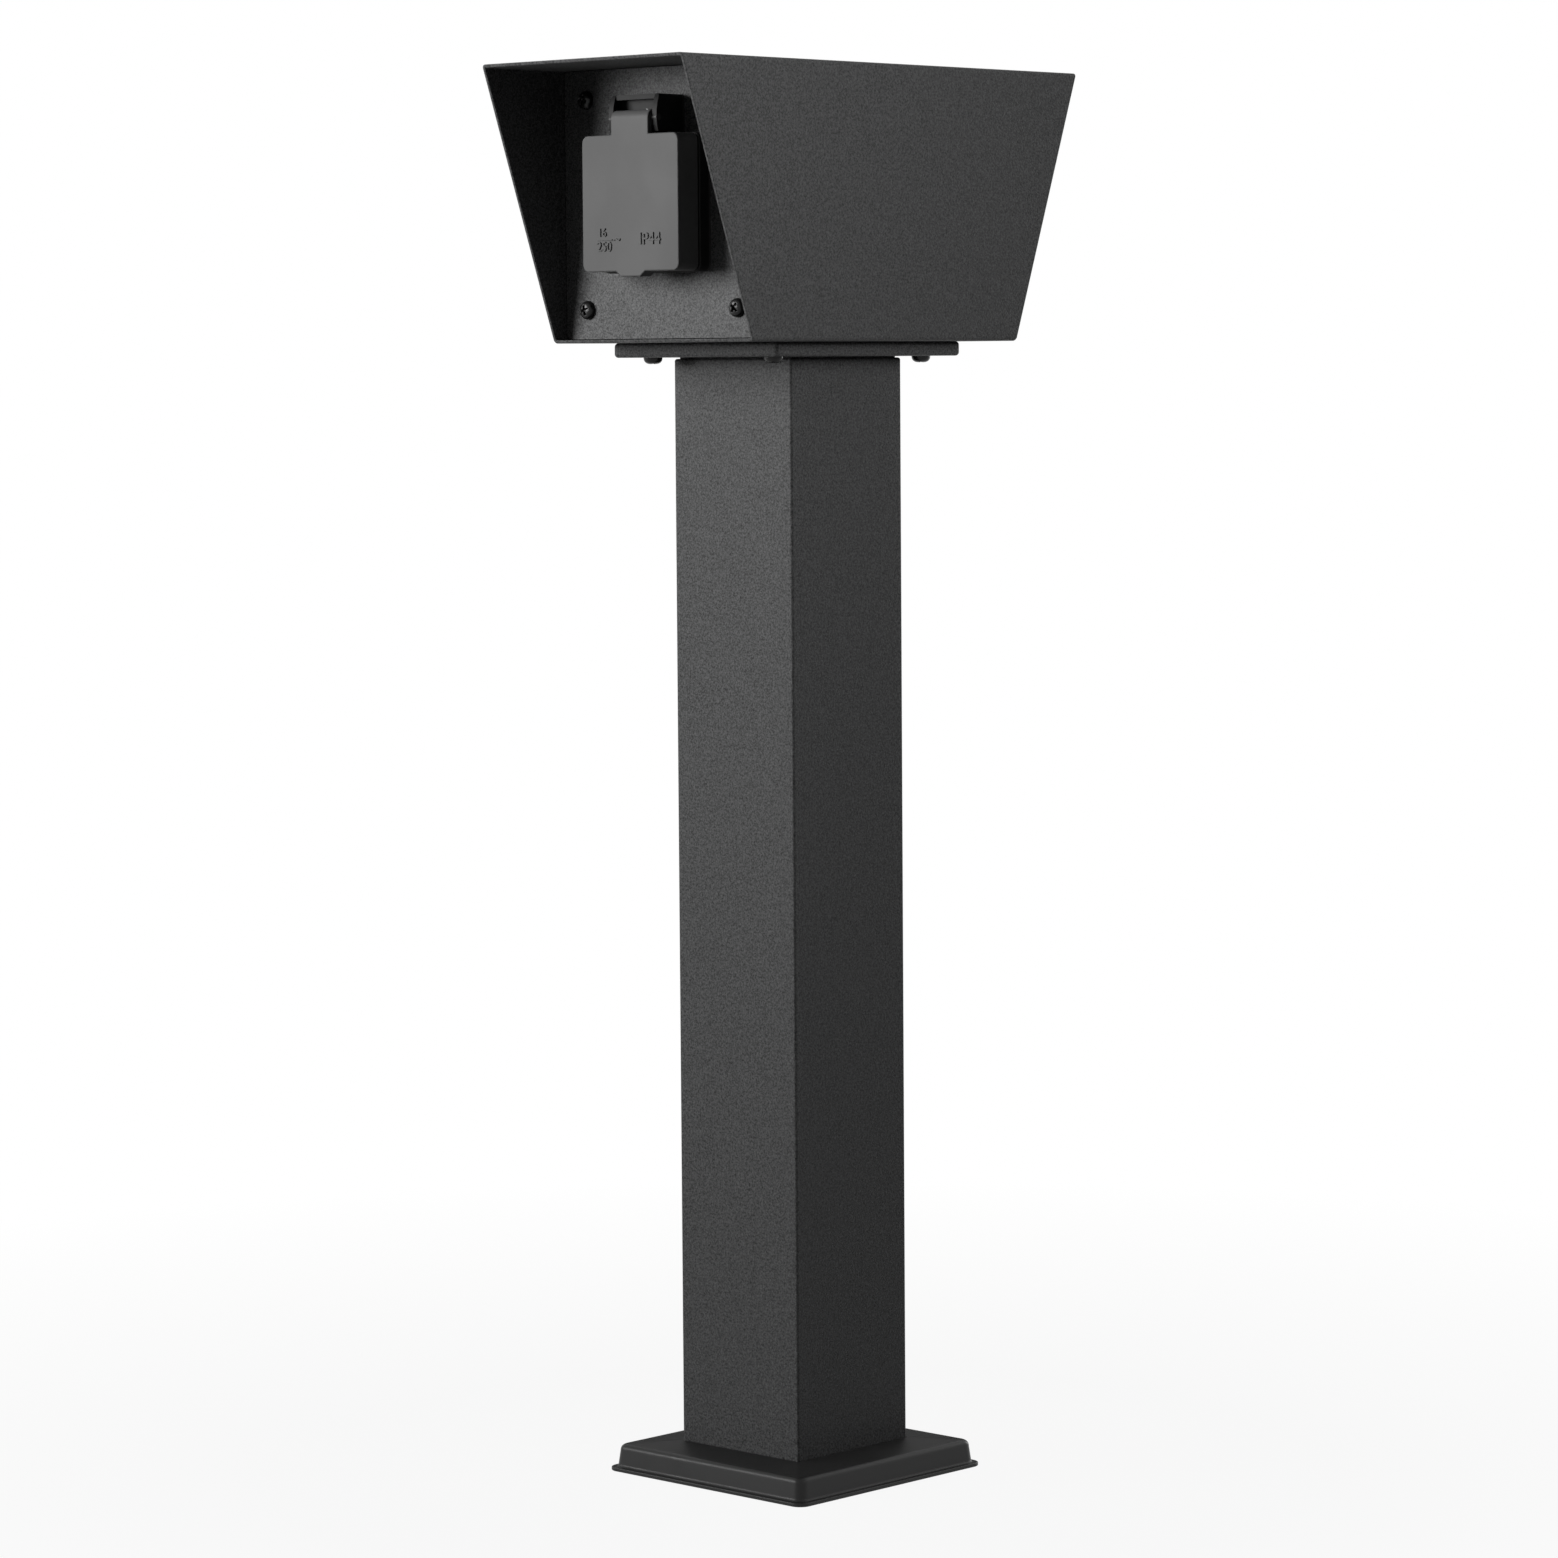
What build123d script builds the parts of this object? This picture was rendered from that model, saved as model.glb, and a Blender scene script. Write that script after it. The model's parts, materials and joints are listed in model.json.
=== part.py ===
from build123d import *
import os
from math import atan, cos, degrees, pi, radians, sin, sqrt, tan

# Garden socket post, in millimetres.
# Origin on the ground under the middle of the post, X to the right, Y to the back, Z up.
# The front socket looks along -Y and the rear one along +Y.

# Foot plate
foot_thickness = 3.0
foot_corner = 4.0
bolt_offset = 7.0
bolt_edge = 7.0
bolt_hole_radius = 3.25
cable_hole_radius = 13.0

# Post tube
post_width = 60.0
post_wall = 1.2
post_corner = 0.9
post_inner_corner = 0.2
post_length = 416.6

# Base cover
cover_foot_gap = 3.0
cover_wall = 1.5
cover_lip = 2.0
cover_lip_thickness = 1.5
cover_lip_corner = 4.5
cover_draft = 1.0
cover_rim_height = 9.9
cover_rim_fillet = 2.0
cover_crown = 1.4
cover_post_gap = 0.3
cover_collar_depth = 3.0

# Head plate, welded in the top of the post
head_thickness = 5.0
head_gap = 0.3
head_corner = 0.5
head_cable_gap = 1.0

# Neck plate and its screws
neck_gap = 0.5
neck_side = 12.1
neck_front = 20.0
neck_thickness = 5.4
neck_corner = 1.8
neck_edge = 1.4
neck_screw_spacing = 40.0
neck_screw_radius = 2.0
neck_screw_length = 12.0
countersink_radius = 4.0
countersink_depth = 2.2
countersink_sink = 0.1

# Hood, a folded sheet tube cut on a slant
hood_width = 102.0
hood_height = 101.1
hood_foot_depth = 142.6
hood_roof_depth = 213.6
sheet = 1.2
hood_bend = 1.5
hood_inner_bend = 0.3

# Screws and nuts
screw_radius = 2.0
screw_hole_gap = 0.2
thread_gap = 0.05
pan_head_radius = 3.5
pan_head_height = 2.4
pan_head_fillet = 1.3
cross_length = 4.0
cross_width = 0.9
cross_depth = 1.2
hood_screw_side = 11.2
hood_screw_front = 9.95
hood_screw_length = 11.5
nut_flats = 7.0
nut_height = 3.2

# Cable grommet
grommet_radius = 10.8
grommet_seat_gap = 0.2
grommet_flange = 2.2
grommet_flange_height = 1.8
grommet_bore_radius = 4.5

# Panels and their brackets
panel_inset = 5.1
panel_thickness = 1.5
panel_gap = 0.3
panel_corner = 1.0
panel_screw_side = 11.3
panel_screw_end = 10.65
panel_screw_length = 9.0
bracket_width = 16.0
bracket_depth = 14.0
bracket_thickness = 1.5
bracket_end_gap = 4.0
bracket_boss_radius = 3.4
bracket_boss_height = 3.0

# Socket body: flange, collar, recess, barrel and guide ribs
socket_drop = 0.25
gasket_thickness = 1.0
flange_thickness = 4.5
flange_rim = 3.5
flange_corner = 3.0
flange_edge = 0.6
recess_radius = 19.5
recess_depth = 17.5
collar_wall = 2.0
collar_height = 7.5
barrel_wall = 2.5
barrel_length = 27.0
panel_cut_gap = 0.3
rib_width = 5.0
rib_height = 2.3
rib_end_gap = 1.5
flange_screw_inset = 6.0
flange_screw_radius = 1.8
flange_screw_head = 3.2
flange_screw_cone = 1.8
flange_screw_length = 12.0

# Contact carrier, contacts and their terminals
carrier_gap = 0.1
carrier_depth = 12.0
carrier_face = 1.5
pin_spacing = 19.0
pin_hole_radius = 2.6
contact_bore_radius = 2.45
contact_wall = 0.85
contact_pocket_gap = 0.1
terminal_width = 8.0
terminal_depth = 7.0
terminal_screw_radius = 1.5
terminal_screw_head = 2.5
terminal_head_height = 1.8
clip_width = 8.0
clip_thickness = 0.8
clip_offset = 18.3
clip_bulge = 1.5
clip_tip_gap = 2.0
clip_bend = 1.6
clip_slot_gap = 0.2
strap_gap = 0.6
back_cover_thickness = 2.0
back_cover_snap = 3.0
back_cover_snap_wall = 1.4
back_cover_snap_gap = 0.2
lead_hole_gap = 0.3

# Lid
lid_side_margin = 0.5
lid_end_margin = 0.4
lid_corner = 2.8
lid_edge = 0.5
lid_thickness = 2.0
lid_wall = 1.6
lid_skirt = 10.0
lid_relief = 3.0
lid_strap_width = 19.0
lid_seal_thickness = 1.0
lid_seal_gap = 0.1
lid_seal_overlap = 0.7
lid_seal_inset = 1.5
lid_ring_wall = 1.4
lid_ring_gap = 0.2
tab_root_width = 15.0
tab_tip_width = 9.7
tab_height = 1.9
tab_depth = 5.4

# Hinge
hinge_rise = 5.8
knuckle_radius = 2.9
hinge_pin_radius = 1.25
hinge_pin_gap = 0.08
pin_seat_gap = 0.02
pin_end_sink = 0.1
ear_gap = 0.5
ear_thickness = 2.2
ear_drop = 5.0
ear_foot_out = 0.4
ear_bulge_out = 1.2
ear_bulge_rise = 0.8
ear_top_in = 0.5
roof_gap = 3.8
roof_thickness = 1.8
hinge_back_gap = 0.9
housing_wall = 1.8
housing_corner = 1.5

# Lid spring, a coil with two legs round the hinge pin
spring_wire = 0.5
spring_coil_radius = 1.8
spring_turns = 5
spring_leg = 3.2
spring_leg_angle = 40.0
spring_slot_width = 8.8
spring_slot_gap = 0.15
spring_end_gap = 0.6
spring_leg_gap = 0.1
wire_sides = 6

# Terminal block
block_width = 26.0
block_depth = 22.0
block_height = 16.0
block_base_height = 5.0
block_pole_spacing = 12.0
block_tower_width = 10.5
clamp_width = 6.4
clamp_length = 16.0
clamp_gap = 0.1
clamp_rise = 7.0
clamp_bore_radius = 1.7
clamp_screw_radius = 1.5
clamp_screw_head = 2.2
clamp_screw_head_height = 2.0
clamp_screw_inset = 4.0
block_screw_radius = 1.4
block_screw_head = 2.6
block_screw_head_height = 1.8
block_screw_depth = 4.0
block_screw_inset = 5.0

# Earth stud, lugs and nut
stud_radius = 2.5
stud_height = 12.0
stud_flange_radius = 5.0
stud_flange_height = 0.8
lug_radius = 5.0
lug_thickness = 0.8
lug_hole_gap = 0.1
lug_neck_width = 3.6
lug_reach = 15.0
lug_barrel_radius = 2.0
lug_barrel_length = 6.0
earth_nut_flats = 8.0
earth_nut_height = 4.0
washer_radius = 5.0
washer_thickness = 1.0

# Leads
lead_radius = 1.4
lead_gap = 0.1
lead_run_gap = 2.5
lead_seat_depth = 4.0
lead_bend_share = 0.45

# One overrun serves every cut
overrun = 1.0

# Heights up the post
post_top = foot_thickness + post_length
neck_bottom = post_top + neck_gap
hood_bottom = neck_bottom + neck_thickness
hood_floor = hood_bottom + sheet
hood_top = hood_bottom + hood_height
hood_middle = (hood_bottom + hood_top) / 2
socket_middle = hood_middle - socket_drop

# Widths that follow the post
bolt_spacing = post_width + 2 * bolt_offset
foot_width = bolt_spacing + 2 * bolt_edge
neck_width = post_width + 2 * neck_side
neck_depth = post_width + 2 * neck_front
grommet_hole_radius = grommet_radius + grommet_seat_gap
grommet_flange_radius = grommet_radius + grommet_flange
hood_half = hood_width / 2 - sheet
hood_screw_x = neck_width / 2 - hood_screw_side
hood_screw_y = neck_depth / 2 - hood_screw_front
screw_hole_radius = screw_radius + screw_hole_gap
countersink_slope = (countersink_radius - neck_screw_radius) / countersink_depth

# Panels: places in the plane of the panel, measured from the middle of the socket
panel_face = hood_foot_depth / 2 - panel_inset
panel_width = 2 * (hood_half - panel_gap)
panel_height = hood_height - 2 * sheet - 2 * panel_gap
panel_screw_x = panel_width / 2 - panel_screw_side
panel_screw_y = panel_height / 2 - panel_screw_end

# Socket: depths are measured outwards from the panel's front face
flange_front = gasket_thickness + flange_thickness
collar_radius = recess_radius + collar_wall
flange_width = 2 * (collar_radius + flange_rim)
rim = flange_front + collar_height
recess_floor = rim - recess_depth
barrel_radius = recess_radius + barrel_wall
barrel_back = gasket_thickness - barrel_length
panel_cut_radius = barrel_radius + panel_cut_gap
carrier_back = recess_floor - carrier_depth
terminal_back = carrier_back - terminal_depth
socket_back = barrel_back - back_cover_thickness
flange_screw_place = flange_width / 2 - flange_screw_inset
contact_radius = contact_bore_radius + contact_wall
lid_inner = rim + lid_seal_gap + lid_seal_thickness
lid_front = lid_inner + lid_thickness
lid_back = lid_front - lid_skirt
lid_width = flange_width - 2 * lid_side_margin
lid_height = flange_width - 2 * lid_end_margin

# Hinge: y is the height over the socket's middle, z the depth outwards
hinge_y = lid_height / 2 + hinge_rise
hinge_z = lid_front - knuckle_radius
cavity_half = lid_strap_width / 2 + ear_gap
housing_half = cavity_half + ear_thickness
roof_bottom = hinge_y + knuckle_radius + roof_gap
roof_top = roof_bottom + roof_thickness
ear_bottom = hinge_y - ear_drop
hinge_back = hinge_z - knuckle_radius - hinge_back_gap
spring_slot_radius = spring_coil_radius + spring_wire / 2 + spring_slot_gap
spring_face = spring_coil_radius - spring_wire / 2 - spring_leg_gap

# Places on the hood's floor
block_x = (grommet_flange_radius + hood_half) / 2
pole_places = [block_x - block_pole_spacing / 2, block_x + block_pole_spacing / 2]
clamp_height = hood_floor + clamp_rise
stud_x = -block_x
live_drop = (panel_face + socket_back + block_depth / 2) / 2
earth_drop = live_drop + 2 * lead_radius + lead_run_gap


def span_box(x, y, z):
    """A box from the low to the high value of each axis."""
    middle = [(low + high) / 2 for low, high in (x, y, z)]
    return Pos(*middle) * Box(x[1] - x[0], y[1] - y[0], z[1] - z[0])


def rod_x(radius, low, high, y=0, z=0):
    return Pos((low + high) / 2, y, z) * Rot(0, 90, 0) * Cylinder(radius, high - low)


def rod_y(radius, low, high, x=0, z=0):
    return Pos(x, (low + high) / 2, z) * Rot(90, 0, 0) * Cylinder(radius, high - low)


def rod_z(radius, low, high, x=0, y=0):
    return Pos(x, y, (low + high) / 2) * Cylinder(radius, high - low)


def ring_z(outer, inner, low, high, x=0, y=0):
    hole = rod_z(inner, low - overrun, high + overrun, x, y)
    return rod_z(outer, low, high, x, y) - hole


def cone_z(low_radius, high_radius, low, high, x=0, y=0):
    return Pos(x, y, (low + high) / 2) * Cone(low_radius, high_radius, high - low)


def slab(width, depth, corner, low, high):
    """A rounded rectangle round the Z axis, between two heights."""
    return Pos(0, 0, low) * extrude(RectangleRounded(width, depth, corner), amount=high - low)


def four_places(x, y):
    return [(-x, -y), (x, -y), (x, y), (-x, y)]


def group(pieces):
    """Separate solids that share one node."""
    return Compound([piece.solid() for piece in pieces])


def nut(flats, height, hole_radius):
    body = extrude(RegularPolygon(flats / 2, 6, major_radius=False), amount=height)
    return body - rod_z(hole_radius, -overrun, height + overrun)


def pan_screw(length):
    """A pan head screw with a cross recess, its head above z = 0 and its shank below."""
    head = rod_z(pan_head_radius, 0, pan_head_height)
    head = fillet(head.edges().group_by(Axis.Z)[-1], pan_head_fillet)
    half, side = cross_length / 2, cross_width / 2
    depth = (pan_head_height - cross_depth, pan_head_height + overrun)
    cross = span_box((-half, half), (-side, side), depth) + span_box((-side, side), (-half, half), depth)
    return head - cross + rod_z(screw_radius, -length, 0)


def countersunk_screw(radius, head_radius, cone, length):
    """A countersunk screw with its flat top at z = 0."""
    cross = cross_width / 2
    slot = span_box((-head_radius, head_radius), (-cross, cross), (-cone / 2, overrun))
    return cone_z(radius, head_radius, -cone, 0) + rod_z(radius, -length, -cone) - slot


def foot_plate():
    plate = slab(foot_width, foot_width, foot_corner, 0, foot_thickness)
    plate -= rod_z(cable_hole_radius, -overrun, foot_thickness + overrun)
    for x, y in four_places(bolt_spacing / 2, bolt_spacing / 2):
        plate -= rod_z(bolt_hole_radius, -overrun, foot_thickness + overrun, x, y)
    return plate


def post_tube():
    inner = post_width - 2 * post_wall
    tube = slab(post_width, post_width, post_corner, foot_thickness, post_top)
    return tube - slab(inner, inner, post_inner_corner, foot_thickness - overrun, post_top + overrun)


def base_cover():
    """A thin tray over the foot plate: a lip on the ground, drafted walls, a rounded rim
    and a crown that rises to a square hole round the post."""
    inner_width = foot_width + 2 * cover_foot_gap
    wall_width = inner_width + 2 * cover_wall
    lip_width = wall_width + 2 * cover_lip
    hole_width = post_width + 2 * cover_post_gap
    draft = degrees(atan(cover_draft / cover_rim_height))
    wall_corner = cover_lip_corner - cover_lip / 2
    inner_corner = wall_corner - cover_wall
    shell = extrude(RectangleRounded(wall_width, wall_width, wall_corner), cover_rim_height, taper=draft)
    shell = fillet(shell.edges().group_by(Axis.Z)[-1], cover_rim_fillet)
    shell += slab(lip_width, lip_width, cover_lip_corner, 0, cover_lip_thickness)
    crown_width = wall_width - 2 * cover_draft - 2 * cover_rim_fillet
    crown_foot = Pos(0, 0, cover_rim_height) * RectangleRounded(crown_width, crown_width, cover_rim_fillet)
    crown_height = cover_rim_height + cover_crown
    crown_top = Pos(0, 0, crown_height) * RectangleRounded(hole_width, hole_width, post_corner)
    shell += loft([crown_foot, crown_top], ruled=True)
    inside_height = cover_rim_height - cover_wall
    inside = extrude(RectangleRounded(inner_width, inner_width, inner_corner), inside_height, taper=draft)
    shell -= inside
    collar_width = hole_width + 2 * cover_wall
    shell += slab(collar_width, collar_width, post_corner + cover_wall,
                  inside_height - cover_collar_depth, inside_height + cover_crown / 2)
    hole_corner = post_corner + cover_post_gap
    return shell - slab(hole_width, hole_width, hole_corner, -overrun, crown_height + overrun)


def head_plate():
    width = post_width - 2 * post_wall - 2 * head_gap
    plate = slab(width, width, head_corner, neck_bottom - head_thickness, neck_bottom)
    hole = grommet_flange_radius + head_cable_gap
    plate -= rod_z(hole, neck_bottom - head_thickness - overrun, neck_bottom + overrun)
    for x, y in four_places(neck_screw_spacing / 2, neck_screw_spacing / 2):
        plate -= rod_z(neck_screw_radius + thread_gap, neck_bottom - head_thickness - overrun,
                       neck_bottom + overrun, x, y)
    return plate


def neck_plate():
    plate = slab(neck_width, neck_depth, neck_corner, neck_bottom, hood_bottom)
    edges = plate.edges().group_by(Axis.Z)
    plate = fillet(edges[0] + edges[-1], neck_edge)
    low, high = neck_bottom - overrun, hood_bottom + overrun
    plate -= rod_z(grommet_hole_radius, low, high)
    for x, y in four_places(hood_screw_x, hood_screw_y):
        plate -= rod_z(screw_hole_radius, low, high, x, y)
    cone_top = hood_bottom - countersink_sink + overrun
    cone_bottom = hood_bottom - countersink_sink - countersink_depth
    cone_radius = countersink_radius + screw_hole_gap + overrun * countersink_slope
    for x, y in four_places(neck_screw_spacing / 2, neck_screw_spacing / 2):
        plate -= rod_z(neck_screw_radius + screw_hole_gap, low, high, x, y)
        plate -= cone_z(neck_screw_radius + screw_hole_gap, cone_radius, cone_bottom, cone_top, x, y)
    for x, y in block_screw_places():
        plate -= rod_z(block_screw_radius + thread_gap, hood_bottom - block_screw_depth, high, x, y)
    return plate


def neck_screws():
    screw = countersunk_screw(neck_screw_radius, countersink_radius, countersink_depth, neck_screw_length)
    places = four_places(neck_screw_spacing / 2, neck_screw_spacing / 2)
    return group(Pos(x, y, hood_bottom - countersink_sink) * screw for x, y in places)


def hood():
    """A folded tube of rectangular section whose two ends slant outwards to the roof."""
    reach = hood_roof_depth / 2 + overrun
    section = Plane.XZ * Pos(0, hood_middle) * (
        RectangleRounded(hood_width, hood_height, hood_bend)
        - RectangleRounded(2 * hood_half, hood_height - 2 * sheet, hood_inner_bend)
    )
    tube = extrude(section, amount=reach, both=True)
    foot, roof = hood_foot_depth / 2, hood_roof_depth / 2
    corners = [(-foot, hood_bottom), (foot, hood_bottom), (roof, hood_top), (-roof, hood_top)]
    side = make_face(Polyline(corners, close=True))
    tube &= extrude(Plane.YZ * side, amount=hood_width, both=True)
    low, high = hood_bottom - overrun, hood_floor + overrun
    tube -= rod_z(grommet_hole_radius, low, high)
    tube -= rod_z(stud_radius, low, high, stud_x)
    for x, y in four_places(hood_screw_x, hood_screw_y):
        tube -= rod_z(screw_hole_radius, low, high, x, y)
    for x, y in block_screw_places():
        tube -= rod_z(block_screw_radius + screw_hole_gap, low, high, x, y)
    return tube


def hood_screws():
    """Pan head screws with their heads under the neck plate, pointing up."""
    screw = Rot(180, 0, 0) * pan_screw(hood_screw_length)
    return group(Pos(x, y, neck_bottom) * screw for x, y in four_places(hood_screw_x, hood_screw_y))


def hood_nuts():
    piece = nut(nut_flats, nut_height, screw_radius + thread_gap)
    return group(Pos(x, y, hood_floor) * piece for x, y in four_places(hood_screw_x, hood_screw_y))


def cable_grommet():
    """A rubber ring with a flange on either side of the hood's floor and the neck plate."""
    low, high = neck_bottom - grommet_flange_height, hood_floor + grommet_flange_height
    ring = rod_z(grommet_radius, low, high)
    ring += rod_z(grommet_flange_radius, low, neck_bottom)
    ring += rod_z(grommet_flange_radius, hood_floor, high)
    return ring - rod_z(grommet_bore_radius, low - overrun, high + overrun)


def panel_centre():
    return Pos(0, hood_middle - socket_middle)


def panel_screw_places():
    shift = hood_middle - socket_middle
    return [(x, y + shift) for x, y in four_places(panel_screw_x, panel_screw_y)]


def flange_outline():
    """The flange's square with the strip that runs up behind the hinge housing."""
    return RectangleRounded(flange_width, flange_width, flange_corner) + housing_outline()


def housing_outline():
    """The hinge housing seen from the front, with rounded upper corners, carried down over the flange."""
    height = roof_top + flange_width / 2 - flange_corner
    return Pos(0, roof_top - height / 2) * RectangleRounded(2 * housing_half, height, housing_corner)


def panel():
    plate = extrude(panel_centre() * RectangleRounded(panel_width, panel_height, panel_corner),
                    amount=-panel_thickness)
    plate -= rod_z(panel_cut_radius, -panel_thickness - overrun, overrun)
    for x, y in panel_screw_places():
        plate -= rod_z(screw_hole_radius, -panel_thickness - overrun, overrun, x, y)
    for x, y in four_places(flange_screw_place, flange_screw_place):
        plate -= rod_z(flange_screw_radius + thread_gap, -panel_thickness - overrun, overrun, x, y)
    return plate


def panel_brackets():
    """Two upright angles on the hood's side walls, with threaded bosses behind the panel."""
    back = -panel_thickness
    middle = hood_middle - socket_middle
    half = hood_height / 2 - sheet - bracket_end_gap
    upright = (middle - half, middle + half)
    boss_back = back - bracket_thickness - bracket_boss_height
    pieces = []
    for side in (-1, 1):
        wall, edge = side * hood_half, side * (hood_half - bracket_width)
        wall_inner = side * (hood_half - bracket_thickness)
        angle = span_box(sorted((wall, edge)), upright, (back - bracket_thickness, back))
        angle += span_box(sorted((wall, wall_inner)), upright, (back - bracket_depth, back))
        for x, y in panel_screw_places():
            if x * side > 0:
                angle += rod_z(bracket_boss_radius, boss_back, back - bracket_thickness / 2, x, y)
                angle -= rod_z(screw_radius + thread_gap, boss_back - overrun, overrun, x, y)
        pieces.append(angle)
    return group(pieces)


def panel_screws():
    return group(Pos(x, y, 0) * pan_screw(panel_screw_length) for x, y in panel_screw_places())


def gasket():
    sheet_ring = extrude(flange_outline(), amount=gasket_thickness)
    sheet_ring -= rod_z(panel_cut_radius, -overrun, gasket_thickness + overrun)
    for x, y in four_places(flange_screw_place, flange_screw_place):
        sheet_ring -= rod_z(flange_screw_radius + screw_hole_gap, -overrun, gasket_thickness + overrun, x, y)
    return sheet_ring


def hinge_housing():
    """Two ears with rounded fronts, a back wall and a roof strip over the knuckle.
    The block is cored from behind, as a moulding is."""
    outline = Polyline(
        (roof_bottom, gasket_thickness),
        (flange_width / 2 - overrun, gasket_thickness),
        (flange_width / 2 - overrun, flange_front),
        (ear_bottom, flange_front),
        (ear_bottom, hinge_z + ear_foot_out),
    )
    front = ThreePointArc(
        (ear_bottom, hinge_z + ear_foot_out),
        (hinge_y + ear_bulge_rise, hinge_z + ear_bulge_out),
        (roof_top, hinge_z - ear_top_in),
    )
    back = Polyline(
        (roof_top, hinge_z - ear_top_in),
        (roof_top, gasket_thickness),
        (roof_bottom, gasket_thickness),
    )
    block = extrude(Plane.YZ * make_face(outline + front + back), amount=housing_half, both=True)
    block &= extrude(housing_outline(), amount=lid_front + overrun)
    across = (-cavity_half, cavity_half)
    out = hinge_z + ear_bulge_out + overrun
    block -= span_box(across, (ear_bottom - overrun, roof_bottom), (hinge_back, out))
    block -= span_box(across, (ear_bottom - overrun, roof_top + overrun), (hinge_z - ear_top_in, out))
    pocket = (flange_width / 2 + housing_wall, roof_bottom)
    block -= span_box(across, pocket, (-overrun, hinge_back - housing_wall))
    return block - rod_x(hinge_pin_radius + pin_seat_gap, -housing_half - overrun, housing_half + overrun,
                         hinge_y, hinge_z)


def socket_body():
    """One moulding: flange, collar, round recess with two guide ribs, barrel and hinge housing."""
    flange = Pos(0, 0, gasket_thickness) * extrude(
        RectangleRounded(flange_width, flange_width, flange_corner), amount=flange_thickness)
    flange = fillet(flange.edges().group_by(Axis.Z)[-1], flange_edge)
    body = flange + hinge_housing()
    body += rod_z(collar_radius, flange_front - flange_edge, rim)
    body += rod_z(barrel_radius, barrel_back, gasket_thickness + flange_edge)
    body -= rod_z(recess_radius, barrel_back - overrun, rim + overrun)
    for side in (-1, 1):
        rib = sorted((side * (recess_radius - rib_height), side * (recess_radius + collar_wall / 2)))
        body += span_box(rib, (-rib_width / 2, rib_width / 2), (recess_floor, rim - rib_end_gap))
    for x, y in four_places(flange_screw_place, flange_screw_place):
        body -= rod_z(flange_screw_radius + screw_hole_gap, -overrun, flange_front + overrun, x, y)
        body -= cone_z(flange_screw_radius + screw_hole_gap, flange_screw_head + screw_hole_gap,
                       flange_front - flange_screw_cone, flange_front, x, y)
    return body


def contact_carrier():
    """The round insert that makes the recess's floor and holds the contacts."""
    body = rod_z(recess_radius - carrier_gap, carrier_back, recess_floor)
    pocket = contact_radius + contact_pocket_gap
    for side in (-1, 1):
        x = side * pin_spacing / 2
        body -= rod_z(pin_hole_radius, carrier_back - overrun, recess_floor + overrun, x)
        body -= rod_z(pocket, carrier_back - overrun, recess_floor - carrier_face, x)
        inner = clip_offset - clip_thickness / 2 - clip_slot_gap
        slot = sorted((side * inner, side * (recess_radius + overrun)))
        width = clip_width / 2 + clip_slot_gap
        body -= span_box((-width, width), slot, (carrier_back - overrun, recess_floor + overrun))
    return body


def pin_contacts():
    """Two brass sleeves for the plug's pins, each with a screw terminal behind it."""
    pieces = []
    half = terminal_width / 2
    for side in (-1, 1):
        x = side * pin_spacing / 2
        sleeve = rod_z(contact_radius, carrier_back - clip_thickness, recess_floor - carrier_face, x)
        sleeve += span_box((x - half, x + half), (-half, half), (terminal_back, carrier_back))
        sleeve -= rod_z(contact_bore_radius, carrier_back + carrier_face, recess_floor + overrun, x)
        sleeve -= terminal_cuts(x)
        pieces.append(sleeve)
    return group(pieces)


def terminal_cuts(x):
    """The lead's bore from behind and the screw's hole from below."""
    bore = rod_z(lead_radius + lead_gap, terminal_back - overrun, terminal_back + lead_seat_depth, x)
    screw = rod_y(terminal_screw_radius + thread_gap, -terminal_width / 2 - overrun, 0, x, terminal_screw_z())
    return bore + screw


def terminal_screw_z():
    return terminal_back + lead_seat_depth / 2


def terminal_screws():
    """Three screws that clamp the leads from below."""
    pieces = []
    face = -terminal_width / 2
    for x in (-pin_spacing / 2, 0, pin_spacing / 2):
        tip = -lead_radius - lead_gap
        screw = rod_y(terminal_screw_radius, face - terminal_head_height / 2, tip, x, terminal_screw_z())
        screw += rod_y(terminal_screw_head, face - terminal_head_height, face, x, terminal_screw_z())
        pieces.append(screw)
    return group(pieces)


def earth_clip():
    """One strip bent to a U, whose bulged arms spring into the recess at top and bottom."""
    level = carrier_back - strap_gap - clip_thickness / 2
    knee = recess_floor + clip_tip_gap
    bulge = (knee + rim - clip_tip_gap) / 2
    arm = [
        (clip_offset, rim - clip_tip_gap),
        (clip_offset - clip_bulge, bulge),
        (clip_offset, knee),
        (clip_offset, level),
    ]
    mirrored = [(-y, z) for y, z in reversed(arm)]
    line = FilletPolyline(arm + mirrored, radius=clip_bend)
    outline = make_face(offset(line, clip_thickness / 2, side=Side.BOTH))
    strip = extrude(Plane.YZ * outline, amount=clip_width / 2, both=True)
    half = terminal_width / 2
    strip += span_box((-half + strap_gap, half - strap_gap), (-half, half), (terminal_back, level))
    return strip - terminal_cuts(0)


def back_cover():
    """The round cover that snaps into the barrel, with a hole for each lead."""
    cover = rod_z(barrel_radius, socket_back, barrel_back)
    outer = recess_radius - back_cover_snap_gap
    cover += ring_z(outer, outer - back_cover_snap_wall, barrel_back - back_cover_thickness / 2,
                    barrel_back + back_cover_snap)
    for x in (-pin_spacing / 2, 0, pin_spacing / 2):
        cover -= rod_z(lead_radius + lead_hole_gap, socket_back - overrun, barrel_back + overrun, x)
    return cover


def flange_screws():
    screw = countersunk_screw(flange_screw_radius, flange_screw_head, flange_screw_cone, flange_screw_length)
    places = four_places(flange_screw_place, flange_screw_place)
    return group(Pos(x, y, flange_front) * screw for x, y in places)


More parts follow.
